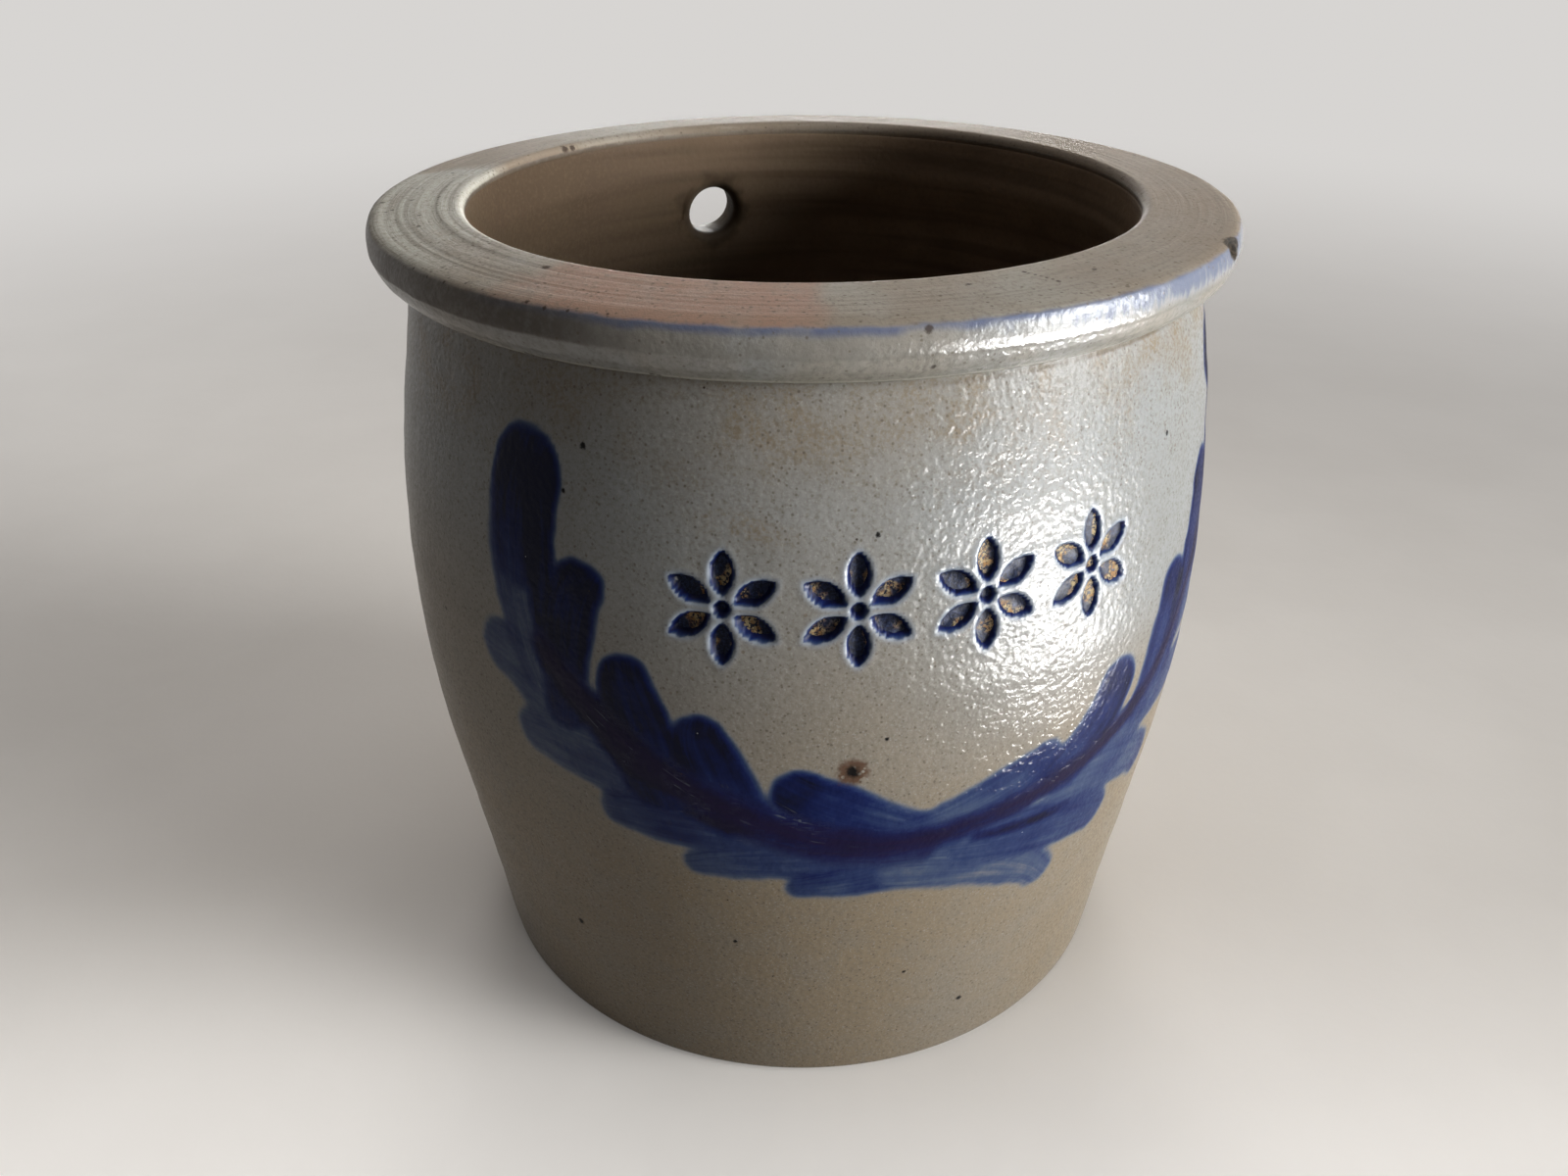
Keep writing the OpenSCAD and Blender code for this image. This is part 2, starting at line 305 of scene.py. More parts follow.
# Lamps as name, place, target, size, power, colour and spread. Places are right of, behind and
# above the pot as the camera sees it.
LAMPS = (
    ("window", (0.65, -0.25, 0.28), (0.0, -0.05, 0.18), (0.5, 0.4), 1.6, (0.98, 1.0, 1.0), 42),
    ("ceiling", (0.0, 1.3, 1.2), (0.0, 0.8, 0.0), (2.4, 2.0), 8.4, (1.0, 0.985, 0.965), 180),
    ("top_fill", (0.0, -0.05, 1.4), (0.0, -0.05, 0.0), (0.8, 0.8), 0.45, (1.0, 0.99, 0.975), 60),
    ("back_fill", (0.0, 2.5, 0.34), (0.0, 0.0, 0.06), (1.6, 0.5), 4.6, (1.0, 0.99, 0.975), 40),
)
# Lamps on the sill that face up and only show as glints in the glaze: name, place, size, power
GLINTS = (
    ("wide_glint", (0.33, -0.22, 0.003), (0.3, 0.36), 9.0),
    ("near_glint", (0.226, -0.136, 0.003), (0.12, 0.17), 5.6),
)
GLINT_COLOUR = (1.0, 0.99, 0.97)

CAMERA_TURN = -19.0
CAMERA_REACH = 197.02
CAMERA_Z = 168.30
CAMERA_PITCH = 29.547
CAMERA_YAW = -0.831
CAMERA_ROLL = -0.154
CAMERA_FOCAL_PX = 1341.0
PHOTO_WIDTH_PX = 1600.0
SENSOR_WIDTH = 36.0


def smooth(low, high, value):
    """Smooth step from 0 at low to 1 at high, for arrays."""
    share = np.clip((value - low) / (high - low), 0.0, 1.0)
    return share * share * (3 - 2 * share)


def hump(value, middle, width):
    """Bell curve that is 1 at the middle."""
    return np.exp(-((value - middle) / width) ** 2)


def lattice(cells):
    """Fixed random values from -1 to 1 at whole-number points. The products wrap round on purpose."""
    with np.errstate(over="ignore"):
        mixed = cells[..., 0] * 374761393 + cells[..., 1] * 668265263 + cells[..., 2] * 1442695041
        mixed = ((mixed ^ (mixed >> 13)) * 1274126177) & 0x7FFFFFFF
    return ((mixed ^ (mixed >> 16)) & 0xFFFF) / 32767.5 - 1


def noise(points, size):
    """Smooth noise from -1 to 1 whose waves are about the given size."""
    scaled = points / size
    cells = np.floor(scaled).astype(np.int64)
    share = smooth(0.0, 1.0, scaled - cells)
    total = np.zeros(points.shape[:-1])
    for corner in itertools.product((0, 1), repeat=3):
        weight = np.ones(points.shape[:-1])
        for axis, high in enumerate(corner):
            weight = weight * (share[..., axis] if high else 1 - share[..., axis])
        total = total + weight * lattice(cells + np.array(corner))
    return total


def noises(points, layers):
    """Sum of noises given as (depth, size, shift)."""
    return sum(depth * noise(points + shift, size) for depth, size, shift in layers)


def turned(angle, radius, height):
    """Points at an angle round the pot, in millimetres."""
    turn = np.radians(angle)
    return np.stack([radius * np.sin(turn), -radius * np.cos(turn), height + 0 * radius], -1)


def steps(zones):
    """Values that run through zones of (first, last, step)."""
    runs = []
    for first, last, step in zones:
        count = max(2, round((last - first) / step) + 1)
        runs.append(np.linspace(first, last, count)[:-1])
    return np.concatenate(runs)


def wall_radius(grow, z):
    """Radius of the wall's face at a height, moved outward by an amount."""
    touch_z = BELLY_Z - (ARC_R + grow) * math.sin(LEAN)
    touch_r = ARC_X + (ARC_R + grow) * math.cos(LEAN)
    straight = touch_r - (touch_z - z) * math.tan(LEAN)
    arc = ARC_X + np.sqrt(np.maximum((ARC_R + grow) ** 2 - (z - BELLY_Z) ** 2, 0.0))
    return np.where(z < touch_z, straight, arc)


def stamp_angles():
    """Angles of the rosettes."""
    pitch = math.degrees(STAMP_PITCH / wall_radius(0.0, STAMP_Z))
    return [DECOR_TURN + (number - (STAMP_COUNT - 1) / 2) * pitch for number in range(STAMP_COUNT)]


def petal_distance(along, across):
    """Distance outside a petal, from its middle, negative inside."""
    half_w = PETAL_W / 2
    curve = (PETAL_HALF_L ** 2 + half_w ** 2) / (2 * half_w)
    return np.hypot(along, np.abs(across) + curve - half_w) - curve


def rosette_distance(angle, z):
    """Distance outside the nearest stamped mark, negative inside."""
    best = np.full(np.shape(angle), FAR)
    rise = z - STAMP_Z
    for stamp in stamp_angles():
        side = np.radians(angle - stamp) * wall_radius(0.0, STAMP_Z)
        best = np.minimum(best, np.hypot(side, rise) - DOT_R)
        for turn in np.radians(np.arange(PETAL_COUNT) * 360 / PETAL_COUNT):
            along = side * math.sin(turn) + rise * math.cos(turn) - PETAL_REACH
            across = side * math.cos(turn) - rise * math.sin(turn)
            best = np.minimum(best, petal_distance(along, across))
    return best


def outer_offset(angle, z):
    """Small unevenness of the thrown outer face, and its stamps."""
    offset = sum(depth * np.cos(np.radians(turns * angle + start)) for turns, start, depth in WALL_WAVES)
    offset = offset * smooth(2, 20, z) * smooth(NECK_Z, NECK_Z - 12, z)
    swell = hump(angle, SWELL_TURN, SWELL_WIDTH) * smooth(NECK_Z, NECK_Z - 4, z)
    offset = offset + swell * (0.3 * smooth(40, 75, z) + 0.45 * smooth(92, 103, z))
    offset = offset + noises(np.stack([z * 1.0, 0.004 * angle, 0 * z], -1), WALL_RINGS)
    offset = offset + noises(turned(angle, wall_radius(0.0, z), z), WALL_DENTS)
    mark = rosette_distance(angle, z)
    return offset - STAMP_DEPTH * smooth(0.15, -0.6, mark) + 0.07 * hump(mark, 0.55, 0.4)


def inner_offset(angle, z):
    """Throwing rings of the inner face."""
    rings = noises(np.stack([z + angle * 0.016, 0.01 * angle, 0 * z], -1), INNER_RINGS)
    return rings * smooth(TOP_Z - 2, NECK_Z - 4, z)


def on_wall(angle, z):
    """Point on the wall's outer face."""
    angle, z = np.array(angle), np.array(z)
    return turned(angle, wall_radius(0.0, z) + outer_offset(angle, z), z)


def stroke_path(root, bend, tip, half_widths):
    """Dabs of the brush along a stroke: places across the unrolled wall and half widths."""
    share = np.linspace(0, 1, STROKE_DABS)[:, None]
    root, bend, tip = (np.array([math.radians(angle) * PAINT_R, z]) for angle, z in (root, bend, tip))
    pull = 2 * bend - (root + tip) / 2
    path = (1 - share) ** 2 * root + 2 * share * (1 - share) * pull + share ** 2 * tip
    return path, np.interp(share[:, 0], (0, 0.6, 1), half_widths)


def stem_path(width_share):
    """Dabs of the brush along the stem, at a share of its width."""
    path = np.array(STEM_PATH)
    share = np.linspace(0, len(path) - 1, STEM_DABS)
    angle, z, half_widths = (np.interp(share, np.arange(len(path)), column) for column in path.T)
    return np.stack([np.radians(angle) * PAINT_R, z], -1), half_widths * width_share


def dab_distance(across, z, path, half_widths):
    """Distance outside a stroke, the place along it from 0 to 1 and the offset to its side."""
    best = np.full(across.shape, FAR)
    along = np.zeros(across.shape)
    beside = np.zeros(across.shape)
    headings = np.gradient(path, axis=0)
    headings = headings / np.linalg.norm(headings, axis=1)[:, None]
    for number, (dab, half) in enumerate(zip(path, half_widths)):
        step = across - dab[0], z - dab[1]
        distance = np.hypot(*step) - half
        near = distance < best
        best = np.where(near, distance, best)
        along = np.where(near, number / (len(path) - 1), along)
        aside = step[1] * headings[number][0] - step[0] * headings[number][1]
        beside = np.where(near, aside / half, beside)
    return best, along, beside


class Paint:
    """Brushed colour over the wall, summed stroke by stroke."""

    def __init__(self, angle, z):
        self.across = np.radians(angle) * PAINT_R
        self.z = z
        self.ragged = noises(np.stack([self.across, z, 0 * z], -1), BRUSH_EDGE)
        self.cobalt = np.zeros(z.shape)
        self.purple = np.zeros(z.shape)
        self.streak = np.zeros(z.shape + (3,))
        self.outside = {}

    def stroke(self, number, dabs, load, group, purple=0.0, pool=0.0):
        """Adds a stroke; pool is the extra load that gathers at its edges and tip."""
        path, half_widths = dabs
        length = np.linalg.norm(np.diff(path, axis=0), axis=1).sum()
        distance, along, beside = dab_distance(self.across, self.z, path, half_widths)
        distance = distance + self.ragged
        cover = smooth(1.0, -1.15, distance)
        gathered = smooth(0.1, 0.9, np.abs(beside)) * 0.5 + smooth(0.7, 1.0, along) * 0.5 - 0.3
        depth = load * (0.78 + 0.22 * smooth(0.0, 0.55, along)) + pool * gathered
        self.cobalt = self.cobalt * (1 - 0.8 * cover) + cover * depth
        kept = self.purple * (1 - 0.6 * cover * (purple == 0))
        self.purple = kept + cover * purple * (1 - self.purple)
        line = (along * length, beside * half_widths.mean(), np.full(along.shape, 17.0 * number))
        self.streak = np.where(cover[..., None] > 0.5, np.stack(line, -1), self.streak)
        self.outside[group] = np.minimum(self.outside.get(group, FAR), distance)


def painted(angle, z):
    """The whole garland at points of the wall."""
    paint = Paint(angle, z)
    for number, (*shape, load) in enumerate(LOWER_STROKES):
        paint.stroke(number, stroke_path(*shape), load, "lower_leaves", pool=0.08)
    paint.stroke(15, stroke_path(*SMEAR), 0.5, "lower_leaves", purple=0.5)
    for number, (*shape, load) in enumerate(UPPER_STROKES, 20):
        paint.stroke(number, stroke_path(*shape), load, "upper_leaves", pool=0.32)
    paint.stroke(40, stem_path(1.0), 0.72, "garland_stem", purple=0.5)
    paint.stroke(41, stem_path(0.5), 0.95, "garland_stem", purple=0.85)
    paint.stroke(42, stroke_path(*STEM_SHADE), 1.2, "garland_stem", purple=0.2)
    for number, (start, end) in enumerate(DRY_LINES, 50):
        middle = (0.5 * (start[0] + end[0]), 0.5 * (start[1] + end[1]) - DRY_LINE_SAG)
        line = stroke_path(start, middle, end, DRY_LINE_HALF_WIDTHS)
        paint.stroke(number, line, 1.2, "garland_stem", purple=0.4)
    return paint


def wall_marks(angle, z, side, paint):
    """Values that the glaze reads at points of the wall, where side is below 0 inside the pot."""
    place = turned(angle, wall_radius(0.0, z), z)
    mark = rosette_distance(angle, z)
    outside = side >= 0
    patch = 0.5 + 0.5 * noise(place, 11.0) + 0.35 * noise(place + 70, 4.0)
    under_collar = smooth(99, 112, z) * (0.35 + 0.65 * patch)
    # Painted sheen keeps the lit upper right cool grey; painted shade darkens the warm clay towards the
    # bottom
    painted_sheen_side = smooth(5, 35, angle) * smooth(95, 60, angle) * smooth(62, 84, z)
    warmth = smooth(102, 46, z) * (1 - 0.7 * painted_sheen_side) + 0.25 * noise(place + 15, 24.0)
    rust = hump(angle, -25, 5.0) * hump(z, 99, 2.0)
    dry = smooth(0.6, -0.6, paint.outside["garland_stem"] - 0.6)
    return {
        "cobalt": np.maximum(np.where(outside, paint.cobalt, 0), smooth(0.25, -0.1, mark)),
        "purple": np.where(outside, paint.purple, 0),
        "streak": paint.streak,
        "dry": dry * smooth(-50, -43, angle) * smooth(-10, -22, angle),
        "flash": np.clip(under_collar + 0.8 * rust, 0, 1),
        "warmth": np.clip(warmth + 0.25 * smooth(100, 112, z), 0, 1),
        # Painted edge highlight with a cobalt tint round the stamps
        "halo": np.where(outside, hump(mark, 0.15, 0.45), 0),
        "inside": np.where(outside, 0.0, 1.0),
    }


def set_values(mesh, marks):
    """Stores values on a mesh's vertices."""
    for name, values in marks.items():
        kind, field = ("FLOAT_VECTOR", "vector") if values.ndim == 2 else ("FLOAT", "value")
        store = mesh.attributes.new(name, kind, "POINT")
        store.data.foreach_set(field, np.ascontiguousarray(values, np.float32).ravel())


def flat(values):
    """Values of a grid as one list, with vectors kept whole."""
    return values.reshape(-1, 3) if values.ndim == 3 else values.ravel()


def make_piece(name, points, faces, marks, material, node, slot):
    """A closed, smooth-shaded piece that stands for a CAD node."""
    mesh = bpy.data.meshes.new(name)
    mesh.from_pydata((np.asarray(points) * MM).tolist(), [], [list(face) for face in faces])
    set_values(mesh, marks)
    work = bmesh.new()
    work.from_mesh(mesh)
    bmesh.ops.recalc_face_normals(work, faces=work.faces)
    work.to_mesh(mesh)
    work.free()
    mesh.shade_smooth()
    mesh.materials.append(material)
    piece = bpy.data.objects.new(name, mesh)
    bpy.context.scene.collection.objects.link(piece)
    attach(piece, "root")
    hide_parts(node)


def ring_faces(rows, columns, closed_rows=True):
    """Faces between rows of points that each go round a ring."""
    row = np.arange(rows if closed_rows else rows - 1)[:, None]
    column = np.arange(columns)[None, :]
    after = (column + 1) % columns
    up = (row + 1) % rows
    corners = (row * columns + column, row * columns + after, up * columns + after, up * columns + column)
    corners = [np.broadcast_to(corner, (len(row), columns)) for corner in corners]
    return np.stack(corners, -1).reshape(-1, 4)


def closed_sheet(top, under, faces):
    """Points and faces of a sheet, its underside and the walls along its open edges."""
    total = len(top)
    edges = {}
    for face in faces.tolist():
        for start, end in zip(face, face[1:] + face[:1]):
            if (end, start) in edges:
                del edges[(end, start)]
            else:
                edges[(start, end)] = (end, start, start + total, end + total)
    sides = list(edges.values())
    return np.concatenate([top, under]), np.concatenate([faces, faces[:, ::-1] + total, sides])


def wall_section():
    """Section of the wall from its underside up the outer face and down the inner face.

    Its rows are radius, height and side: 1 outside, -1 inside, -2 at the floor and 0 where covered.
    """
    outer_z = np.append(steps(WALL_ROWS), NECK_Z)
    foot_r = wall_radius(0.0, FOOT_ROUND) - FOOT_ROUND
    rows = [(FLOOR_R, 0.3, 0), (FOOT_FLAT_R, 0.3, 0), (foot_r - 2.2, 0.12, 0), (foot_r - 0.8, 0.0, 0)]
    for turn in np.radians((-80, -58, -36, -18)):
        rows.append((foot_r + FOOT_ROUND * math.cos(turn), FOOT_ROUND + FOOT_ROUND * math.sin(turn), 0))
    rows += [(wall_radius(0.0, z), z, 1) for z in outer_z]
    lip_z = TOP_Z - LIP_R
    rows += [(MOUTH_R + 5.0, NECK_Z + 0.6, 0), (MOUTH_R + 2.0, lip_z - 1.0, 0)]
    rows.append((MOUTH_R + 0.6, lip_z - 0.2, 0))
    rows += [(MOUTH_R + tuck, lip_z - drop, -1) for tuck, drop in ((0.12, 0.5), (0.03, 1.0), (0.0, 1.7))]
    rows += [(MOUTH_R, z, -1) for z in np.linspace(lip_z - 2.5, NECK_Z + 0.9, 5)]
    inner_z = [z for z in outer_z[::-1] if z >= HOLE_BAND]
    inner_z += list(np.linspace(HOLE_BAND, FLOOR_Z + FILLET_R, 24)[1:])
    rows += [(wall_radius(-WALL_T, z), z, -1) for z in inner_z]
    bend = wall_radius(-WALL_T, FLOOR_Z + FILLET_R) - FILLET_R
    for turn in np.radians((-18, -36, -54, -72, -90)):
        z = FLOOR_Z + 0.03 + FILLET_R + FILLET_R * math.sin(turn)
        rows.append((bend + FILLET_R * math.cos(turn), z, -2))
    return np.array(rows, float)


def bore_point(reach, turn, depth):
    """Point at a reach from the hole's axis, between the outer face at depth 0 and the inner at 1."""
    angle = np.array(180 + math.degrees(reach * math.cos(turn) / wall_radius(-WALL_T / 2, HOLE_Z)))
    z = np.array(HOLE_Z + reach * math.sin(turn))
    inner = turned(angle, wall_radius(-WALL_T, z) + inner_offset(angle, z), z)
    return on_wall(angle, z) * (1 - depth) + inner * depth


def pierce(points, faces, section, columns):
    """Opens the hanging hole through both faces of the wall and lines it with a rounded bore."""
    aside = np.tile(np.radians(columns % 360 - 180) * wall_radius(-WALL_T / 2, HOLE_Z), len(section))
    rise = np.repeat(section[:, 1] - HOLE_Z, len(columns))
    turn_of = np.arctan2(rise, aside)
    zone = np.repeat(np.where(section[:, 1] >= HOLE_BAND, section[:, 2], 0), len(columns))
    away = np.hypot(aside[faces].mean(1), rise[faces].mean(1))
    away = np.where(np.ptp(aside[faces], axis=1) < HOLE_R, away, np.inf)
    keep = np.full(len(faces), True)
    rims = {}
    bends = {}
    for side, edge in HOLE_EDGES.items():
        open_faces = (zone[faces] == side).all(1) & (away < HOLE_R + 0.75 * edge)
        keep &= ~open_faces
        uses = np.bincount(faces[open_faces].ravel())
        rim = np.flatnonzero((uses > 0) & (uses < 4))
        rims[side] = rim[np.argsort(turn_of[rim])]
        for corner in rim:
            points[corner] = bore_point(HOLE_R + edge, turn_of[corner], 0 if side == 1 else 1)
        reaches = HOLE_R + edge * (1 - np.sin(ROUNDING))
        bends[side] = list(zip(reaches, edge * (1 - np.cos(ROUNDING)) / WALL_T))
    levels = bends[1] + [(HOLE_R, 0.35), (HOLE_R, 0.65)]
    levels += [(reach, 1 - depth) for reach, depth in reversed(bends[-1])]
    bore = np.array([bore_point(reach, turn, depth) for reach, depth in levels for turn in turn_of[rims[1]]])
    rings = np.concatenate([rims[1], len(points) + np.arange(len(bore)), rims[-1]])
    bore_faces = rings[ring_faces(len(levels) + 2, len(rims[1]), closed_rows=False)]
    return np.concatenate([points, bore]), np.concatenate([faces[keep], bore_faces])


def wall_grid():
    """Points, section, columns, and angle, height and side of every point of the wall."""
    section = wall_section()
    columns = steps(WALL_COLUMNS)
    angle = np.broadcast_to(columns[None, :], (len(section), len(columns)))
    radius, z, side = (np.broadcast_to(column[:, None], angle.shape) for column in section.T)
    radius = radius + np.where(side == 1, outer_offset(angle, z), 0)
    radius = radius + np.where(side == -1, inner_offset(angle, z), 0)
    return turned(angle, radius, z), section, columns, angle, z, side


def make_wall(grid, marks, material):
    """The thrown body with its stamps, hole and painted glaze."""
    points, section, columns = grid[:3]
    faces = ring_faces(len(section), len(columns))
    points, faces = pierce(flat(points).copy(), faces, section, columns)
    used, faces_left = np.unique(faces, return_inverse=True)
    pierced = {}
    for name, values in marks.items():
        values = flat(values)
        share = BORE_INSIDE if name == "inside" else 0.0
        bore = np.full((len(points) - len(values),) + values.shape[1:], share)
        pierced[name] = np.concatenate([values, bore])[used]
    faces = faces_left.reshape(faces.shape)
    make_piece("body_wall_glazed", points[used], faces, pierced, material, "body_wall", "wall_glaze")


def make_strokes(node, grid, marks, outside, material):
    """Brushed slip that stands a hair above the wall, closed underneath."""
    points, section, columns = grid[:3]
    outside = outside.ravel()
    rows = np.flatnonzero(section[:, 2] == 1)
    corners = ring_faces(len(section), len(columns))
    row = corners // len(columns)
    corners = corners[(row.min(1) >= rows[0]) & (row.max(1) <= rows[-1])]
    corners = corners[outside[corners].min(1) < STROKE_MARGIN]
    used, faces = np.unique(corners, return_inverse=True)
    lift = SLIP_LIFTS[node] * smooth(0.45, -1.1, outside[used]) - SLIP_SINK
    base = flat(points)[used]
    level = base * np.array([1, 1, 0])
    outward = level / np.linalg.norm(level, axis=1)[:, None]
    faces = faces.reshape(corners.shape)
    shell = closed_sheet(base + outward * lift[:, None], base - outward * SLIP_BED, faces)
    doubled = {name: np.concatenate([flat(values)[used]] * 2) for name, values in marks.items()}
    make_piece(node + "_brushed", *shell, doubled, material, node, SLIP_SLOTS[node])


def slip_pool(half_l, half_w, seed):
    """A pool of slip in a stamped mark: points across, along and over the wall's face, and faces."""
    side, run = np.meshgrid(np.linspace(-1, 1, 9), np.linspace(-1, 1, 15))
    width = half_w * (0.35 * np.sqrt(np.maximum(1 - run ** 2, 0.0)) + 0.65 * (1 - run ** 2))
    across = side * np.maximum(width, 0.12)
    along = run * half_l
    lumps = noises(np.stack([across, along, np.full(across.shape, seed)], -1), SLIP_LUMPS)
    top = -0.75 + 0.4 * side ** 2 + 0.2 * run ** 4 + lumps
    bottom = np.full(across.shape, -STAMP_DEPTH - 0.35)
    rows, count = across.shape
    faces = ring_faces(rows, count, closed_rows=False).reshape(rows - 1, count, 4)[:, :-1].reshape(-1, 4)
    return closed_sheet(*(flat(np.stack([across, along, level], -1)) for level in (top, bottom)), faces)


def make_stamp_slip(material):
    """Cobalt slip that lies in the stamped rosettes."""
    points = []
    faces = []
    pools = [(0.0, 0.0, DOT_R + 0.1, DOT_R + 0.1)]
    for petal in range(PETAL_COUNT):
        turn = math.radians(360 * petal / PETAL_COUNT)
        pools.append((turn, PETAL_REACH, PETAL_HALF_L + 0.1, PETAL_W / 2 + 0.15))
    for number, stamp in enumerate(stamp_angles()):
        for order, (turn, reach, length, width) in enumerate(pools):
            pool, pool_faces = slip_pool(length, width, 10.0 * number + 1.7 * order)
            run = pool[:, 1] + reach
            side = pool[:, 0] * math.cos(turn) + run * math.sin(turn)
            height = STAMP_Z + run * math.cos(turn) - pool[:, 0] * math.sin(turn)
            angle = stamp + np.degrees(side / wall_radius(0.0, STAMP_Z))
            faces += (pool_faces + len(points)).tolist()
            points += turned(angle, wall_radius(0.0, height) + pool[:, 2], height).tolist()
    make_piece("rosette_slip", points, faces, {}, material, "stamp_slip", "stamp_cobalt")


def make_floor(material):
    """The thrown floor with its spiral ring, and the wire-cut underside."""
    radii = np.concatenate([[0.6], np.arange(2.0, FLOOR_R, 2.0), [FLOOR_R - 0.5, FLOOR_R + 0.6]])
    top = np.repeat([False, True], len(radii))[:, None]
    angle, radius = np.meshgrid(np.arange(-180, 180, 1.5), np.concatenate([radii, radii[::-1]]))
    spiral = 0.3 * np.cos(2 * np.pi * (radius / SPIRAL_PITCH - angle / 360))
    spiral = spiral * smooth(FLOOR_R, FLOOR_R - 10, radius) * (radius < FLOOR_R - 1)
    place = turned(angle, radius, 0 * radius)
    cut = 0.32 + 0.07 * np.cos(place[..., 0] * 0.9 + 0.004 * place[..., 1] ** 2) + 0.05 * noise(place, 5.0)
    points = flat(turned(angle, radius, np.where(top, FLOOR_Z - FLOOR_SINK + spiral, cut)))
    rows, count = radius.shape
    faces = ring_faces(rows, count, closed_rows=False).tolist()
    faces.append(range(count))
    faces.append(range(len(points) - 1, len(points) - count - 1, -1))
    marks = {"inside": np.repeat(top.astype(float), count)}
    make_piece("thrown_floor", points, faces, marks, material, "floor_disc", "floor_clay")


def collar_section():
    """Section of the collar, from the inner edge of its top outward, round the roll and back inside."""
    roll = np.array([RIM_R - ROLL_R, NECK_Z + ROLL_R])
    inner_r = MOUTH_R + LIP_R
    lip_z = TOP_Z - LIP_R
    lip = np.radians(np.linspace(180, 90, 7))
    rows = list(zip(inner_r + LIP_R * np.cos(lip), lip_z + LIP_R * np.sin(lip)))
    fall = TOP_FALL / (RIM_R - MOUTH_R)
    top_r = np.linspace(inner_r + 0.3, RIM_R - 3.4, 56)
    rows += [(radius, TOP_Z - (radius - inner_r) * fall) for radius in top_r]
    edge_turn = math.radians(EDGE_TURN)
    edge = np.array([math.cos(edge_turn), math.sin(edge_turn)])
    start = np.array(rows[-1])
    end = roll + ROLL_R * edge
    corner = start + (end - start) @ edge / (edge[0] - fall * edge[1]) * np.array([1.0, -fall])
    for share in np.linspace(0, 1, 12)[1:]:
        rows.append(tuple((1 - share) ** 2 * start + 2 * share * (1 - share) * corner + share ** 2 * end))
    for turn in np.radians(np.linspace(EDGE_TURN, -62, 34)[1:]):
        rows.append(tuple(roll + ROLL_R * np.array([math.cos(turn), math.sin(turn)])))
    neck = wall_radius(0.0, NECK_Z)
    cove = ((1.25, 0.55), (1.0, 0.37), (0.75, 0.22), (0.55, 0.08), (0.35, -0.05), (-0.3, -0.3), (-3.0, -0.4))
    rows += [(neck + out, NECK_Z + rise) for out, rise in cove]
    rows.append((MOUTH_R + 0.9, NECK_Z - 0.4))
    rows += [(MOUTH_R + 0.5, z) for z in np.linspace(NECK_Z + 0.5, lip_z - 1.6, 5)]
    rows += [(MOUTH_R + 0.25, lip_z - 1.0), (MOUTH_R + 0.06, lip_z - 0.5)]
    return np.array(rows, float)


def on_collar_top(angle, radius):
    """Point on the top of the collar."""
    section = collar_section()
    rising = section[:int(np.argmax(section[:, 0])) + 1]
    return turned(angle, radius, np.interp(radius, rising[:, 0], rising[:, 1]))


def on_collar_roll(angle, z):
    """Point on the rolled edge of the collar."""
    across = math.sqrt(ROLL_R ** 2 - (z - NECK_Z - ROLL_R) ** 2)
    return turned(angle, RIM_R - ROLL_R + across, z)


def chip_marks(angle, radius, z, place):
    """The chip in the collar's edge and the crack below it: depth from 0 to 1 and darkness."""
    side = np.radians(angle - CHIP_TURN) * RIM_R
    reach = np.hypot(side / 2.6, np.hypot(radius - RIM_R + 0.5, z - CHIP_Z) / 1.35) + 0.12 * noise(place, 0.8)
    crack_side = side - 1.9 - 0.5 * smooth(CHIP_Z, CHIP_Z - 2.4, z)
    crack = smooth(CHIP_Z - 2.7, CHIP_Z - 1.6, z) * smooth(CHIP_Z + 0.3, CHIP_Z - 0.3, z)
    crack = crack * smooth(0.75, 0.4, np.abs(crack_side))
    return np.maximum(smooth(1.0, 0.6, reach), 0.2 * crack), np.maximum(smooth(1.25, 1.08, reach), crack)


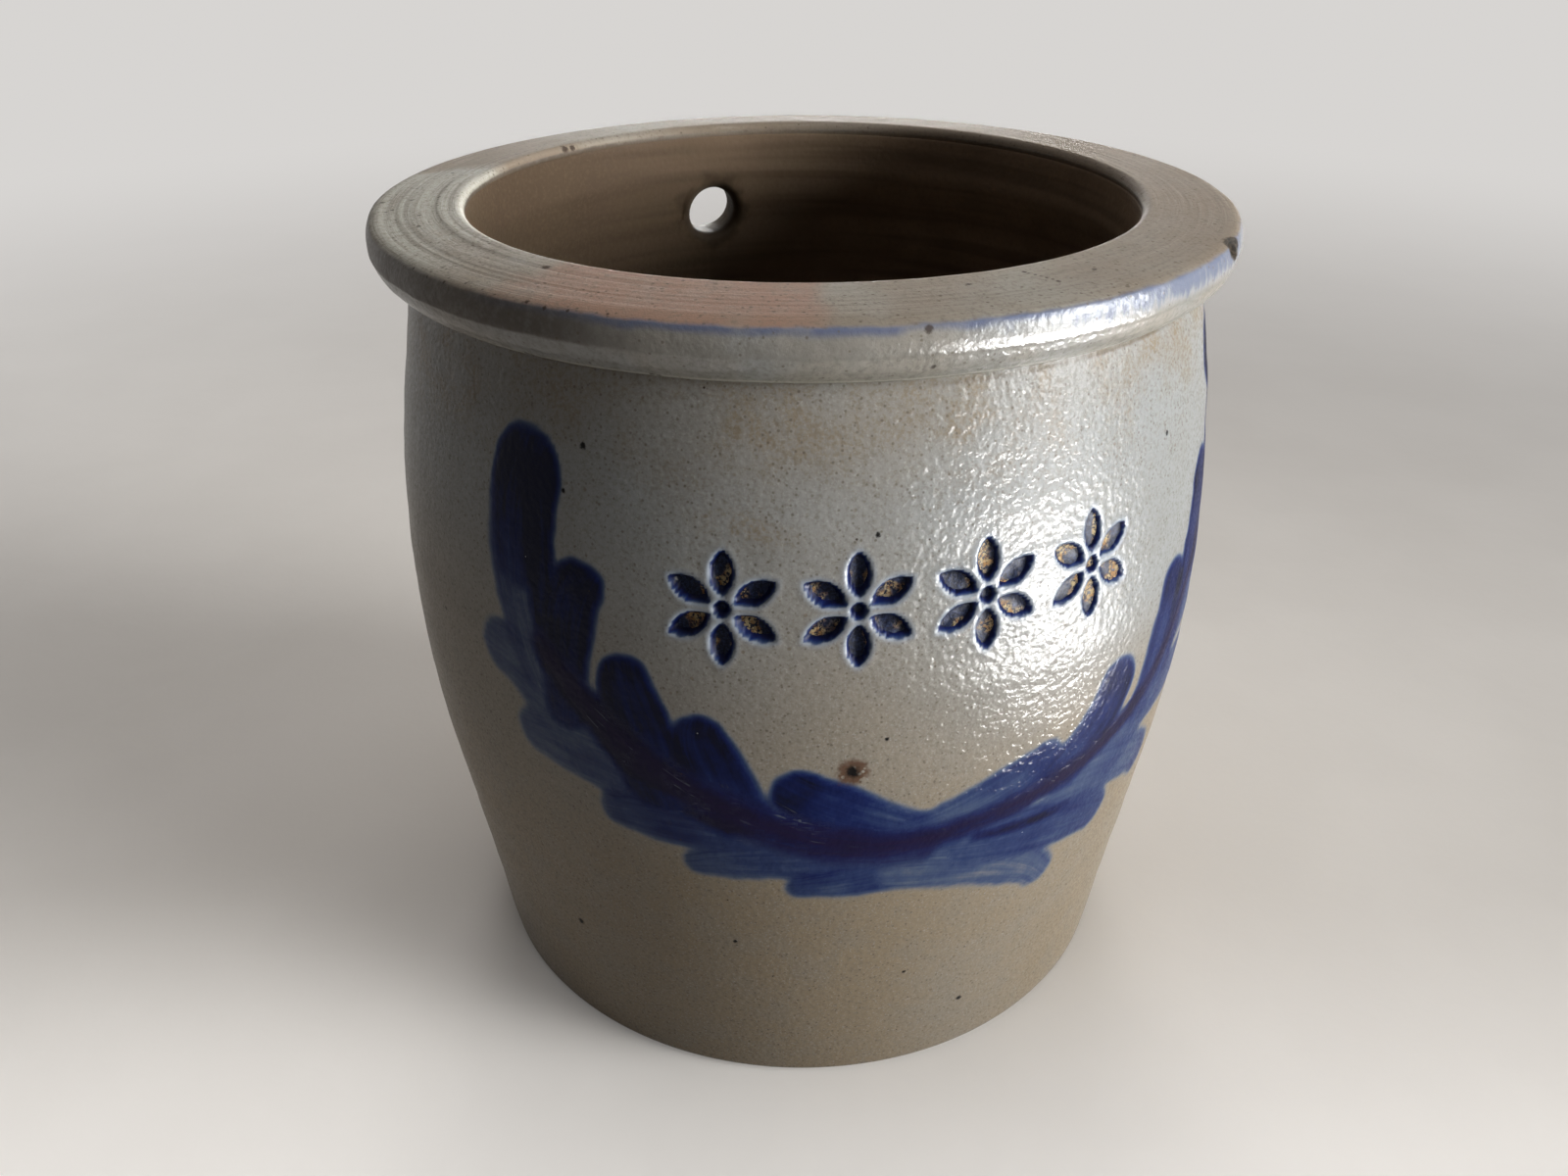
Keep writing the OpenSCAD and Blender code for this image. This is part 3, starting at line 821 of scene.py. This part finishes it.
def collar_marks(angle, radius, z, place):
    """Values that the collar's material reads, but for its chip and turning lines."""
    patch = noise(place, 9.0)
    fine = noise(place + 5, 3.0)
    edge = angle + 5 * patch + 2.5 * fine
    near = angle + 4 * patch
    brown = np.maximum(smooth(-121, -126, edge), smooth(5, 60, edge) * 0.75)
    brown = brown * np.maximum(smooth(-152, -144, edge), 0.8 * smooth(-164, -174, edge))
    scuff = hump(angle, -73, 8) * hump(radius, 53.5, 4.5) * (0.6 + 0.5 * noise(place, 2.0))
    line = smooth(-58, -34, angle + 6 * patch) * smooth(62, 46, near)
    line = line * smooth(RIM_R - 3.4, RIM_R - 2.2, radius + 0.3 * fine)
    line = line * smooth(EDGE_LINE_Z, EDGE_LINE_Z + 0.9, z + 0.4 * fine)
    run = smooth(-6, 18, angle + 5 * patch) * smooth(60, 46, near)
    top_z = z + 0.1 * fine + 0.08 * noise(place, 1.2)
    return {
        "lay": np.stack([np.radians(angle) * RIM_R, z, radius], -1),
        "top_face": smooth(TOP_EDGE_Z, TOP_EDGE_Z + 0.4, top_z),
        "pink": smooth(-56, -47, edge) * smooth(-15.0, -19.5, angle + 1.2 * fine),
        "pale": smooth(-122, -118, edge) * smooth(-58, -74, edge),
        "brown": np.clip(brown, 0, 1),
        "wash": run * smooth(RIM_R - 3.6, RIM_R - 2.4, radius) * smooth(BAND_Z - 0.1, RUN_TOP_Z, z),
        "edge_line": line,
        # Left of the roll: dull glaze that is also darkened as painted shade
        "dull_and_shaded": smooth(-30, -54, angle + 6 * patch) * smooth(-178, -150, angle),
        "scuff": np.clip(scuff, 0, 1),
        # Painted highlight along the roll's lower edge
        "lip": hump(z, LIP_HIGHLIGHT_Z, 0.2) * smooth(RIM_R - 4.2, RIM_R - 3.4, radius),
        "inside": smooth(MOUTH_R + 0.9, MOUTH_R + 0.2, radius) * smooth(TOP_Z - 0.5, TOP_Z - 2.2, z),
        "upper_band": smooth(BAND_Z, BAND_Z + 0.6, z + 0.22 * fine),
    }


def make_collar(material):
    """The turned collar with its flat top, rolled edge, chip and glaze runs."""
    section = collar_section()
    columns = steps(COLLAR_COLUMNS)
    angle = np.broadcast_to(columns[None, :], (len(section), len(columns)))
    radius, z = (np.broadcast_to(column[:, None], angle.shape) for column in section.T)
    place = turned(angle, radius, z)
    on_top = smooth(TOP_Z - 1.6, TOP_Z - 0.7, z) * smooth(RIM_R - 1.2, RIM_R - 3.2, radius)
    on_roll = smooth(RIM_R - 4.2, RIM_R - 2.4, radius)
    chip, chip_dark = chip_marks(angle, radius, z, place)
    rings = np.stack([radius + 0.05 * np.sin(np.radians(angle * 3)), 0.006 * angle, 0 * angle], -1)
    lines = noise(rings, 0.6) + noise(rings + 40, 1.7) + 0.5 * noise(place, 1.4)
    turning = smooth(-150, -118, angle) * smooth(-30, -62, angle)
    z = z + on_top * (0.02 + 0.02 * turning) * lines
    z = z + on_top * 0.12 * np.cos(np.radians(2 * angle + 30))
    crease = hump(z, CREASE_Z, 0.3) * smooth(RIM_R - 2.6, RIM_R - 1.6, radius)
    swell = noises(place, ROLL_DENTS) - 0.14 * smooth(BAND_Z + 0.5, BAND_Z, z)
    swell = swell + 0.16 * np.cos(np.radians(2 * angle + 25)) - CHIP_DEPTH * chip
    points = turned(angle, radius + on_roll * swell - 0.1 * crease, z)
    marks = collar_marks(angle, radius, z, place)
    marks["turning"] = turning
    marks["chip"] = chip_dark * on_roll
    marks = {name: flat(values) for name, values in marks.items()}
    faces = ring_faces(len(section), len(columns))
    make_piece("rim_collar_turned", flat(points), faces, marks, material, "rim_collar", "collar_clay")


class Shader:
    """The node tree of a material or a world, with short calls for the nodes that it needs."""

    def __init__(self, block):
        self.block = block
        block.use_nodes = True
        self.tree = block.node_tree
        self.tree.nodes.clear()
        self.place = self.add("ShaderNodeTexCoord").outputs["Object"]

    def add(self, kind, settings=None, inputs=None):
        """Adds a node, sets its properties and fills or links its inputs."""
        node = self.tree.nodes.new(kind)
        for key, value in (settings or {}).items():
            setattr(node, key, value)
        for key, value in (inputs or {}).items():
            if isinstance(value, bpy.types.NodeSocket):
                self.tree.links.new(value, node.inputs[key])
            else:
                node.inputs[key].default_value = value
        return node

    def math(self, operation, first, second=0.0, third=0.0):
        """One arithmetic step."""
        inputs = {0: first, 1: second, 2: third}
        return self.add("ShaderNodeMath", {"operation": operation}, inputs).outputs[0]

    def times(self, first, *others):
        """Product of values."""
        for other in others:
            first = self.math("MULTIPLY", first, other)
        return first

    def most(self, first, *others):
        """Largest of values."""
        for other in others:
            first = self.math("MAXIMUM", first, other)
        return first

    def minus(self, first, second):
        """Difference of two values."""
        return self.math("SUBTRACT", first, second)

    def scaled(self, value, scale, start):
        """A value times a scale, plus a start."""
        return self.math("MULTIPLY_ADD", value, scale, start)

    def vectors(self, operation, first, second=(0.0, 0.0, 0.0), result="Vector"):
        """One step of vector arithmetic."""
        inputs = {0: first, 1: second}
        return self.add("ShaderNodeVectorMath", {"operation": operation}, inputs).outputs[result]

    def value(self, name, result="Fac"):
        """A value stored on the mesh, or a vector."""
        return self.add("ShaderNodeAttribute", {"attribute_name": name}).outputs[result]

    def noise(self, size, detail=2.0, rough=0.5, vector=None, shift=0.0):
        """Noise from 0 to 1 with waves of a size in millimetres."""
        source = vector or self.place
        if shift:
            source = self.vectors("ADD", source, (shift, shift, shift))
        scale = 1 / size if vector else 1 / (size * MM)
        inputs = {"Vector": source, "Scale": scale, "Detail": detail, "Roughness": rough}
        return self.add("ShaderNodeTexNoise", {}, inputs).outputs["Fac"]

    def span(self, value, low, high, to_low=0.0, to_high=1.0):
        """Smooth step of a value from low to high."""
        inputs = {"Value": value, "From Min": low, "From Max": high, "To Min": to_low, "To Max": to_high}
        return self.add("ShaderNodeMapRange", {"interpolation_type": "SMOOTHSTEP"}, inputs).outputs["Result"]

    def layers(self, colour, *overs):
        """A colour with others laid over it, each given with shares of which it has the product."""
        for over, *shares in overs:
            inputs = {0: self.times(*shares)}
            for key, value in ((6, colour), (7, over)):
                inputs[key] = value if isinstance(value, bpy.types.NodeSocket) else (*value, 1.0)
            colour = self.add("ShaderNodeMix", {"data_type": "RGBA"}, inputs).outputs[2]
        return colour

    def ramp(self, value, stops):
        """Colour ramp over (place, colour) stops."""
        node = self.add("ShaderNodeValToRGB", {}, {"Fac": value})
        elements = node.color_ramp.elements
        while len(elements) < len(stops):
            elements.new(0.5)
        for element, (spot, colour) in zip(elements, stops):
            element.position = spot
            element.color = (*colour, 1.0)
        return node.outputs["Color"]

    def specks(self, size, radius, share, shift=0.0):
        """Small round specks: cells of a size, speck radius, and the share of cells that have one."""
        source = self.vectors("ADD", self.place, (shift, shift, shift))
        cells = self.add("ShaderNodeTexVoronoi", {}, {"Vector": source, "Scale": 1 / (size * MM)})
        picked = self.add("ShaderNodeSeparateColor", {}, {0: cells.outputs["Color"]}).outputs[0]
        near = self.span(cells.outputs["Distance"], radius / size, radius / size * 0.45)
        return self.times(near, self.math("LESS_THAN", picked, share))

    def spot(self, point, radius, soft=0.4):
        """A spot with an uneven edge at a point in millimetres."""
        away = self.vectors("DISTANCE", self.place, tuple(float(length) * MM for length in point), "Value")
        ragged = self.scaled(self.noise(0.5 * radius + 0.15, 2.0, 0.6), radius * MM, radius * MM * -0.5)
        return self.span(self.math("ADD", away, ragged), radius * MM, radius * MM * soft)

    def bump(self, height, strength, distance):
        """Bump of a height field, in millimetres."""
        inputs = {"Height": height, "Strength": strength, "Distance": distance * MM}
        return self.add("ShaderNodeBump", {}, inputs).outputs["Normal"]

    def seen(self):
        """1 for the rays by which the camera sees a surface, straight or in glaze and glass."""
        rays = self.add("ShaderNodeLightPath").outputs
        return self.most(rays["Is Camera Ray"], rays["Is Glossy Ray"], rays["Is Transmission Ray"])

    def finish(self, colour, roughness, normal, settings):
        """Joins the surface shader to the output."""
        inputs = {"Base Color": colour, "Roughness": roughness, "Normal": normal, **settings}
        shader = self.add("ShaderNodeBsdfPrincipled", {}, inputs)
        self.add("ShaderNodeOutputMaterial", {}, {"Surface": shader.outputs[0]})
        return self.block


def inside_colour(nodes):
    """Thinly glazed brown clay of the inside with throwing lines, darker on the side that the window lamp
    lights, as painted shade, and paler on the other side, as painted light.
    """
    across = nodes.vectors("DOT_PRODUCT", nodes.place, tuple(turned(INSIDE_LIT_TURN, 1.0, 0.0)), "Value")
    level = nodes.vectors("MULTIPLY", nodes.place, (18.0, 18.0, 1 / (2.6 * MM)))
    hole = turned(180.0, wall_radius(-WALL_T, HOLE_Z), HOLE_Z)
    return nodes.layers(
        INSIDE_SHADED_CLAY,
        (INSIDE_LIT_CLAY, nodes.span(across, -50 * MM, 25 * MM)),
        (INSIDE_OLIVE, nodes.span(nodes.noise(16.0, 3.0), 0.35, 0.65, 0.0, 0.3)),
        (INSIDE_SHADE, nodes.span(nodes.noise(1.0, 2.0, 0.55, vector=level), 0.42, 0.68, 0.0, 0.4)),
        (INSIDE_GRAIN, nodes.span(nodes.noise(0.7, 3.0, 0.6), 0.45, 0.75, 0.0, 0.3)),
        (INSIDE_SHADE, nodes.spot(hole, HOLE_R + 3.4, 0.62), 0.75),
    )


def iron_ring(nodes):
    """Brown beads round the largest iron spot."""
    angle, z = IRON_SPOTS[0][:2]
    beads = nodes.add("ShaderNodeTexVoronoi", {}, {"Vector": nodes.place, "Scale": 1 / (0.8 * MM)})
    beads = nodes.span(beads.outputs["Distance"], 0.18, 0.42)
    return nodes.times(nodes.spot(on_wall(angle, z), 2.6, 0.55), beads, 0.85)


def along_stroke(nodes, scale):
    """The place in a brush stroke, with its length, width and number scaled."""
    return nodes.vectors("MULTIPLY", nodes.value("streak", "Vector"), scale)


def painted_colour(nodes, bare):
    """The bare wall's colour with the brushed cobalt over it."""
    streak = nodes.noise(1.0, 3.0, 0.6, vector=along_stroke(nodes, (0.055, 0.95, 1.0)))
    stir = nodes.scaled(streak, 0.9, 0.38)
    stir = nodes.scaled(nodes.noise(1.6, 3.0, 0.6, shift=0.7), 0.34, stir)
    stir = nodes.scaled(nodes.minus(nodes.noise(7.0, shift=0.2), 0.5), 0.7, stir)
    load = nodes.times(nodes.value("cobalt"), stir)
    scratch = nodes.span(nodes.noise(0.5, vector=along_stroke(nodes, (0.09, 1.0, 1.0))), 0.58, 0.68)
    blue = nodes.layers(
        nodes.ramp(nodes.times(load, 0.82), COBALT_STOPS),
        (STEM_PURPLE, nodes.value("purple"), nodes.span(streak, 0.3, 0.62, 0.3, 0.95)),
        (DRY_BRUSH, scratch, nodes.value("dry"), nodes.span(nodes.noise(5.0, shift=0.5), 0.46, 0.6), 0.8),
        (BUBBLE_WHITE, nodes.specks(3.4, 0.1, 0.4, shift=0.9)),
    )
    return nodes.layers(bare, (blue, nodes.span(load, 0.03, 0.4)))


def seam_stain_and_shade(nodes):
    """Dark line under the collar on the right of the wall: an iron stain at the seam, and painted shade under
    the collar.
    """
    place = nodes.add("ShaderNodeSeparateXYZ", {}, {0: nodes.place}).outputs
    off = nodes.math("ABSOLUTE", nodes.minus(place[2], SEAM_Z * MM))
    return nodes.times(nodes.span(off, 0.6 * MM, 0.1 * MM), nodes.span(place[0], -15 * MM, 15 * MM))


def glaze_material(name):
    """Salt glaze over grey stoneware, with iron specks and the brushed cobalt under it."""
    nodes = Shader(bpy.data.materials.new(name))
    patch = nodes.noise(6.0, 3.0, 0.6)
    grain = nodes.noise(0.55, 3.0, 0.62)
    fine = nodes.noise(0.3, 2.0, 0.6, shift=0.3)
    inside = nodes.value("inside")
    iron = nodes.most(inside, *(nodes.spot(on_wall(angle, z), radius) for angle, z, radius in IRON_SPOTS))
    flash = nodes.times(nodes.value("flash"), nodes.span(patch, 0.36, 0.7))
    specks = nodes.most(nodes.specks(5.0, 0.2, 0.5), nodes.specks(17.0, 0.42, 0.45, shift=0.4))
    bare = nodes.layers(
        CLAY_COOL,
        # Warmer and darker towards the bottom: brown clay with painted shade
        (CLAY_WARM_SHADED, nodes.value("warmth")),
        (CLAY_PATCH, nodes.span(patch, 0.4, 0.7, 0.0, 0.25)),
        (CLAY_DARK, nodes.span(grain, 0.46, 0.7, 0.0, 0.52)),
        (CLAY_LIGHT, nodes.span(fine, 0.54, 0.74, 0.0, 0.42)),
        (FLASH_BROWN, flash, nodes.span(grain, 0.36, 0.6, 0.2, 1.0), 0.95),
        (PORE_BROWN, nodes.specks(0.85, 0.24, 0.6, shift=0.05), 0.6),
        (FLECK_BROWN, nodes.specks(2.6, 0.34, 0.5, shift=0.35), nodes.span(patch, 0.3, 0.6, 0.15, 0.6)),
        # Dark seam line: stain with painted shade under the collar
        (SEAM_STAIN_AND_SHADE, seam_stain_and_shade(nodes), nodes.span(patch, 0.3, 0.6, 0.4, 0.8)),
        # Painted edge highlight with a cobalt tint round the stamps
        (STAMP_RIM_HIGHLIGHT, nodes.value("halo"), 0.5),
    )
    colour = nodes.layers(
        painted_colour(nodes, bare),
        (RING_BROWN, iron_ring(nodes)),
        (SPECK_BROWN, specks, 0.9),
        (IRON_BLACK, iron),
        (inside_colour(nodes), inside),
    )
    height = nodes.scaled(fine, 0.2, nodes.noise(0.95, 1.0, 0.45, shift=0.1))
    roughness = nodes.math("ADD", nodes.span(grain, 0.3, 0.7, 0.3, 0.46), nodes.times(inside, 0.3))
    coat = nodes.minus(nodes.span(nodes.value("cobalt"), 0.2, 0.8, 0.2, 0.06), nodes.times(inside, 0.2))
    coat = nodes.most(nodes.minus(coat, nodes.times(iron, 0.2)), 0.02)
    settings = {"Coat Weight": coat, "Coat Roughness": 0.09, "Specular IOR Level": 0.03}
    settings["Coat Normal"] = nodes.bump(height, 0.9, 0.3)
    return nodes.finish(colour, roughness, nodes.bump(height, 0.45, 0.13), settings)


def turning_lines(nodes):
    """Fine lines round the collar's top."""
    lay = nodes.add("ShaderNodeSeparateXYZ", {}, {0: nodes.value("lay", "Vector")}).outputs
    along = nodes.add("ShaderNodeCombineXYZ", {}, {0: nodes.times(lay[2], 2.3), 1: nodes.times(lay[0], 0.04)})
    return nodes.noise(1.0, 3.0, 0.65, vector=along.outputs[0])


def collar_top_colour(nodes, cloud, patch, grain, lines):
    """Matte clay of the collar's top, with turning lines painted as shaded grooves and highlighted ridges,
    and flashes.
    """
    turning = nodes.value("turning")
    pores = nodes.most(nodes.specks(1.0, 0.26, 0.5, shift=0.15), nodes.specks(3.2, 0.4, 0.4, shift=0.25))
    return nodes.layers(
        TOP_TAN,
        (TOP_BROWN, nodes.span(cloud, 0.35, 0.65)),
        (TOP_PINK, nodes.value("pink"), nodes.span(patch, 0.2, 0.6, 0.6, 0.95)),
        (TOP_PALE, nodes.value("pale"), 0.9),
        (TOP_DARK, nodes.value("brown"), 0.8),
        (TOP_SCUFF, nodes.value("scuff"), nodes.span(grain, 0.35, 0.6, 0.4, 0.9)),
        # Painted shade in the turning grooves and painted highlight on the ridges
        (TOP_GROOVE_SHADE, nodes.span(lines, 0.5, 0.66), nodes.span(turning, 0.0, 1.0, 0.25, 0.48)),
        (TOP_RIDGE_HIGHLIGHT, nodes.span(lines, 0.46, 0.34), nodes.span(turning, 0.0, 1.0, 0.1, 0.3)),
        (TOP_GRAIN, nodes.span(grain, 0.5, 0.66, 0.0, 0.5)),
        (PORE_BROWN, pores, 0.7),
    )


def collar_roll_colour(nodes, cloud, patch, grain):
    """Glaze of the rolled edge, with runs of thin cobalt and a paler band below."""
    mottle = nodes.noise(1.5, 3.0, 0.65, shift=0.45)
    upper = nodes.value("upper_band")
    wash = nodes.value("wash")
    dull_and_shaded = nodes.times(nodes.value("dull_and_shaded"), nodes.span(upper, 0.0, 1.0, 0.25, 0.9))
    downward = nodes.vectors("MULTIPLY", nodes.value("lay", "Vector"), (0.9, 0.16, 0.0))
    runs = nodes.noise(1.0, 3.0, 0.65, vector=downward)
    runs = nodes.span(nodes.scaled(nodes.minus(runs, 0.5), 1.9, wash), 0.35, 1.0)
    line = nodes.times(nodes.value("edge_line"), nodes.span(patch, 0.2, 0.6, 0.45, 0.8))
    pores = nodes.most(nodes.specks(1.1, 0.24, 0.5, shift=0.15), nodes.specks(4.0, 0.36, 0.4, shift=0.25))
    return nodes.layers(
        ROLL_GREY,
        (ROLL_TAN, nodes.span(cloud, 0.35, 0.65)),
        (ROLL_MOTTLE, nodes.span(mottle, 0.45, 0.65, 0.0, 0.4)),
        (ROLL_MOTTLE, nodes.span(grain, 0.48, 0.68, 0.0, 0.5)),
        (ROLL_UPPER, upper, nodes.span(patch, 0.3, 0.65, 0.35, 0.7)),
        # Dull glaze darkened partly as painted shade on the left
        (ROLL_DULL_SHADE, dull_and_shaded, nodes.span(mottle, 0.3, 0.6, 0.65, 1.0)),
        # Pale bluish glaze on the lit right, partly painted sheen
        (ROLL_COOL_SHEEN, nodes.span(wash, 0.0, 0.6), 0.4),
        (ROLL_WASH, nodes.most(line, nodes.times(runs, nodes.span(wash, 0.05, 0.3), 0.72))),
        # Painted highlight along the roll's lower edge
        (ROLL_LIP_HIGHLIGHT, nodes.value("lip"), 0.7),
        (PORE_BROWN, pores, 0.65),
    )


def collar_material():
    """Matte turned clay on the top of the collar, running into glaze on its roll."""
    nodes = Shader(bpy.data.materials.new("collar_clay_and_glaze"))
    cloud = nodes.noise(14.0, 3.0, 0.55)
    patch = nodes.noise(4.0, 3.0, 0.6)
    grain = nodes.noise(0.6, 3.0, 0.62)
    fine = nodes.noise(0.32, 2.0, 0.6, shift=0.3)
    lines = turning_lines(nodes)
    top_face = nodes.value("top_face")
    chip = nodes.value("chip")
    inside = nodes.value("inside")
    wear = nodes.span(nodes.noise(1.3, 3.0, 0.65, shift=0.6), 0.52, 0.66, 0.0, 1.8)
    pits = [nodes.spot(on_collar_top(angle, radius), size) for angle, radius, size in TOP_SPOTS]
    pits += [nodes.spot(on_collar_roll(angle, z), size) for angle, z, size in ROLL_SPOTS]
    colour = nodes.layers(
        collar_roll_colour(nodes, cloud, patch, grain),
        (collar_top_colour(nodes, cloud, patch, grain, lines), top_face),
        (WEAR_BROWN, top_face, nodes.minus(1.0, top_face), wear),
        (SPECK_BROWN, nodes.most(nodes.specks(11.0, 0.42, 0.4, shift=0.4), *pits), 0.85),
        (nodes.layers(CHIP_BLACK, (CHIP_BROWN, nodes.span(grain, 0.4, 0.65))), chip),
        (inside_colour(nodes), inside),
    )
    matte = nodes.most(top_face, inside, chip)
    peel = nodes.times(nodes.noise(0.95, 1.0, 0.45, shift=0.1), nodes.minus(1.0, matte))
    height = nodes.math("ADD", nodes.scaled(fine, 0.45, peel), nodes.times(lines, top_face, 0.5))
    roughness = nodes.scaled(matte, 0.3, nodes.span(grain, 0.3, 0.7, 0.36, 0.5))
    dull_and_shaded = nodes.times(nodes.value("dull_and_shaded"), nodes.value("upper_band"))
    coat = nodes.times(nodes.span(matte, 0.0, 0.8, 0.5, 0.0), nodes.span(dull_and_shaded, 0.0, 1.0, 1.0, 0.15))
    settings = {"Coat Weight": coat, "Coat Roughness": 0.07, "Specular IOR Level": 0.08}
    settings["Coat Normal"] = nodes.bump(height, 0.7, 0.2)
    return nodes.finish(colour, roughness, nodes.bump(height, 0.5, 0.14), settings)


def floor_material():
    """Bare brown clay of the floor."""
    nodes = Shader(bpy.data.materials.new("floor_clay_bare"))
    colour = nodes.layers(
        UNDER_TAN,
        (UNDER_BROWN, nodes.span(nodes.noise(5.0, 3.0), 0.4, 0.65)),
        (inside_colour(nodes), nodes.value("inside")),
        (SPECK_BROWN, nodes.specks(5.0, 0.3, 0.5), 0.8),
    )
    roughness = nodes.span(nodes.noise(2.0), 0.3, 0.7, 0.62, 0.8)
    normal = nodes.bump(nodes.noise(0.8, 3.0, 0.6), 0.5, 0.2)
    return nodes.finish(colour, roughness, normal, {"Specular IOR Level": 0.4})


def stamp_material():
    """Near-black cobalt with ochre grains left in the stamps."""
    nodes = Shader(bpy.data.materials.new("stamp_cobalt_glass"))
    grains = nodes.noise(0.42, 3.0, 0.7)
    ochre = nodes.times(nodes.span(nodes.noise(3.6), 0.5, 0.6), nodes.span(grains, 0.42, 0.56))
    gold = nodes.layers(OCHRE_DARK, (OCHRE_PALE, nodes.span(nodes.noise(0.8, shift=0.2), 0.4, 0.6)))
    colour = nodes.layers(SLIP_BLACK, (SLIP_BLUE, nodes.span(grains, 0.4, 0.7)), (gold, ochre))
    roughness = nodes.span(ochre, 0.0, 1.0, 0.4, 0.7)
    return nodes.finish(colour, roughness, nodes.bump(grains, 0.6, 0.15), {"Specular IOR Level": 0.06})


def stage_material():
    """Pale painted sill that fades into the room's pale wall far from the pot, with painted light on its
    front.
    """
    nodes = Shader(bpy.data.materials.new("pale_stage"))
    cloud = nodes.noise(60.0, 3.0)
    seen = nodes.seen()
    reach = nodes.vectors("LENGTH", nodes.place, result="Value")
    far = nodes.times(nodes.span(reach, FADE_NEAR, FADE_FAR), seen)
    ahead = nodes.vectors("DOT_PRODUCT", nodes.place, tuple(camera_axes()[1]), "Value")
    # Painted light that brightens the front of the sill as it is seen
    front = nodes.times(nodes.span(ahead, 0.0, FRONT_FAR, 0.0, FRONT_PAINTED_LIGHT), seen)
    sill = nodes.layers(SILL_PALE, (SILL_GREY, nodes.span(cloud, 0.35, 0.65)))
    colour = nodes.layers(SILL_BOUNCE, (sill, seen), (BLACK, far))
    settings = {"Specular IOR Level": 0.0, "Emission Color": (*ROOM_COLOUR, 1.0)}
    settings["Emission Strength"] = nodes.most(nodes.times(far, ROOM_SEEN), front)
    roughness = nodes.span(cloud, 0.3, 0.7, 0.65, 0.75)
    return nodes.finish(colour, roughness, nodes.bump(nodes.noise(6.0, 3.0), 0.25, 0.3), settings)


def make_stage():
    """A wide pale floor under the pot."""
    mesh = bpy.data.meshes.new("pale_floor")
    corners = [(x * STAGE_REACH, y * STAGE_REACH, 0.0) for x, y in ((-1, -1), (1, -1), (1, 1), (-1, 1))]
    mesh.from_pydata(corners, [], [(0, 1, 2, 3)])
    mesh.materials.append(stage_material())
    floor = bpy.data.objects.new("pale_floor", mesh)
    bpy.context.scene.collection.objects.link(floor)


def make_world():
    """Dim, slightly warm room light, seen as a pale wall by the camera and in the glaze."""
    nodes = Shader(bpy.data.worlds.new("room"))
    strength = nodes.span(nodes.seen(), 0.0, 1.0, ROOM_LIGHT, ROOM_SEEN)
    background = nodes.add("ShaderNodeBackground", {}, {"Color": (*ROOM_COLOUR, 1.0), "Strength": strength})
    nodes.add("ShaderNodeOutputWorld", {}, {"Surface": background.outputs[0]})
    bpy.context.scene.world = nodes.block


def camera_axes():
    """Right, upward and forward axes of the camera, before its roll."""
    heading = math.radians(CAMERA_YAW - CAMERA_TURN)
    pitch = math.radians(CAMERA_PITCH)
    level = Vector((math.sin(heading), math.cos(heading), 0.0))
    forward = level * math.cos(pitch) - Vector((0.0, 0.0, math.sin(pitch)))
    right = Vector((math.cos(heading), -math.sin(heading), 0.0))
    return right, right.cross(forward), forward


def make_camera():
    """The camera where the photograph was taken."""
    right, upward, forward = camera_axes()
    roll = math.radians(CAMERA_ROLL)
    across = right * math.cos(roll) + upward * math.sin(roll)
    rise = upward * math.cos(roll) - right * math.sin(roll)
    data = bpy.data.cameras.new("photo_camera")
    data.sensor_width = SENSOR_WIDTH
    data.lens = CAMERA_FOCAL_PX / PHOTO_WIDTH_PX * SENSOR_WIDTH
    data.clip_start = 0.01
    camera = bpy.data.objects.new("photo_camera", data)
    place = Vector(turned(CAMERA_TURN, CAMERA_REACH, CAMERA_Z)) * MM
    axes = Matrix((across, rise, -forward)).transposed().to_4x4()
    camera.matrix_world = Matrix.Translation(place) @ axes
    bpy.context.scene.collection.objects.link(camera)
    bpy.context.scene.camera = camera


def make_lamp(name, place, target, size, power, colour, spread):
    """A soft area lamp."""
    around = Matrix.Rotation(math.radians(CAMERA_TURN), 3, "Z")
    place = around @ Vector(place)
    data = bpy.data.lights.new(name, "AREA")
    data.shape = "RECTANGLE"
    data.size, data.size_y = size
    data.energy = power
    data.color = colour
    data.spread = math.radians(spread)
    lamp = bpy.data.objects.new(name, data)
    lamp.location = place
    lamp.visible_camera = False
    lamp.rotation_mode = "QUATERNION"
    lamp.rotation_quaternion = (around @ Vector(target) - place).to_track_quat("-Z", "Y")
    bpy.context.scene.collection.objects.link(lamp)
    return lamp


def make_lamps():
    """The soft lamps and the glints."""
    for lamp in LAMPS:
        make_lamp(*lamp)
    for name, place, size, power in GLINTS:
        glint = make_lamp(name, place, (*place[:2], 0.5), size, power, GLINT_COLOUR, 180)
        glint.data.shape = "ELLIPSE"
        glint.visible_diffuse = False


def main():
    """Builds the pot and the scene round it."""
    grid = wall_grid()
    angle, z, side = grid[3:]
    paint = painted(angle, z)
    marks = wall_marks(angle, z, side, paint)
    make_wall(grid, marks, glaze_material("salt_glaze_wall"))
    for node in SLIP_SLOTS:
        make_strokes(node, grid, marks, paint.outside[node], glaze_material("salt_glaze_" + node))
    make_collar(collar_material())
    make_floor(floor_material())
    make_stamp_slip(stamp_material())
    make_stage()
    make_camera()
    make_world()
    make_lamps()
    bpy.context.scene.view_settings.view_transform = "Standard"


main()
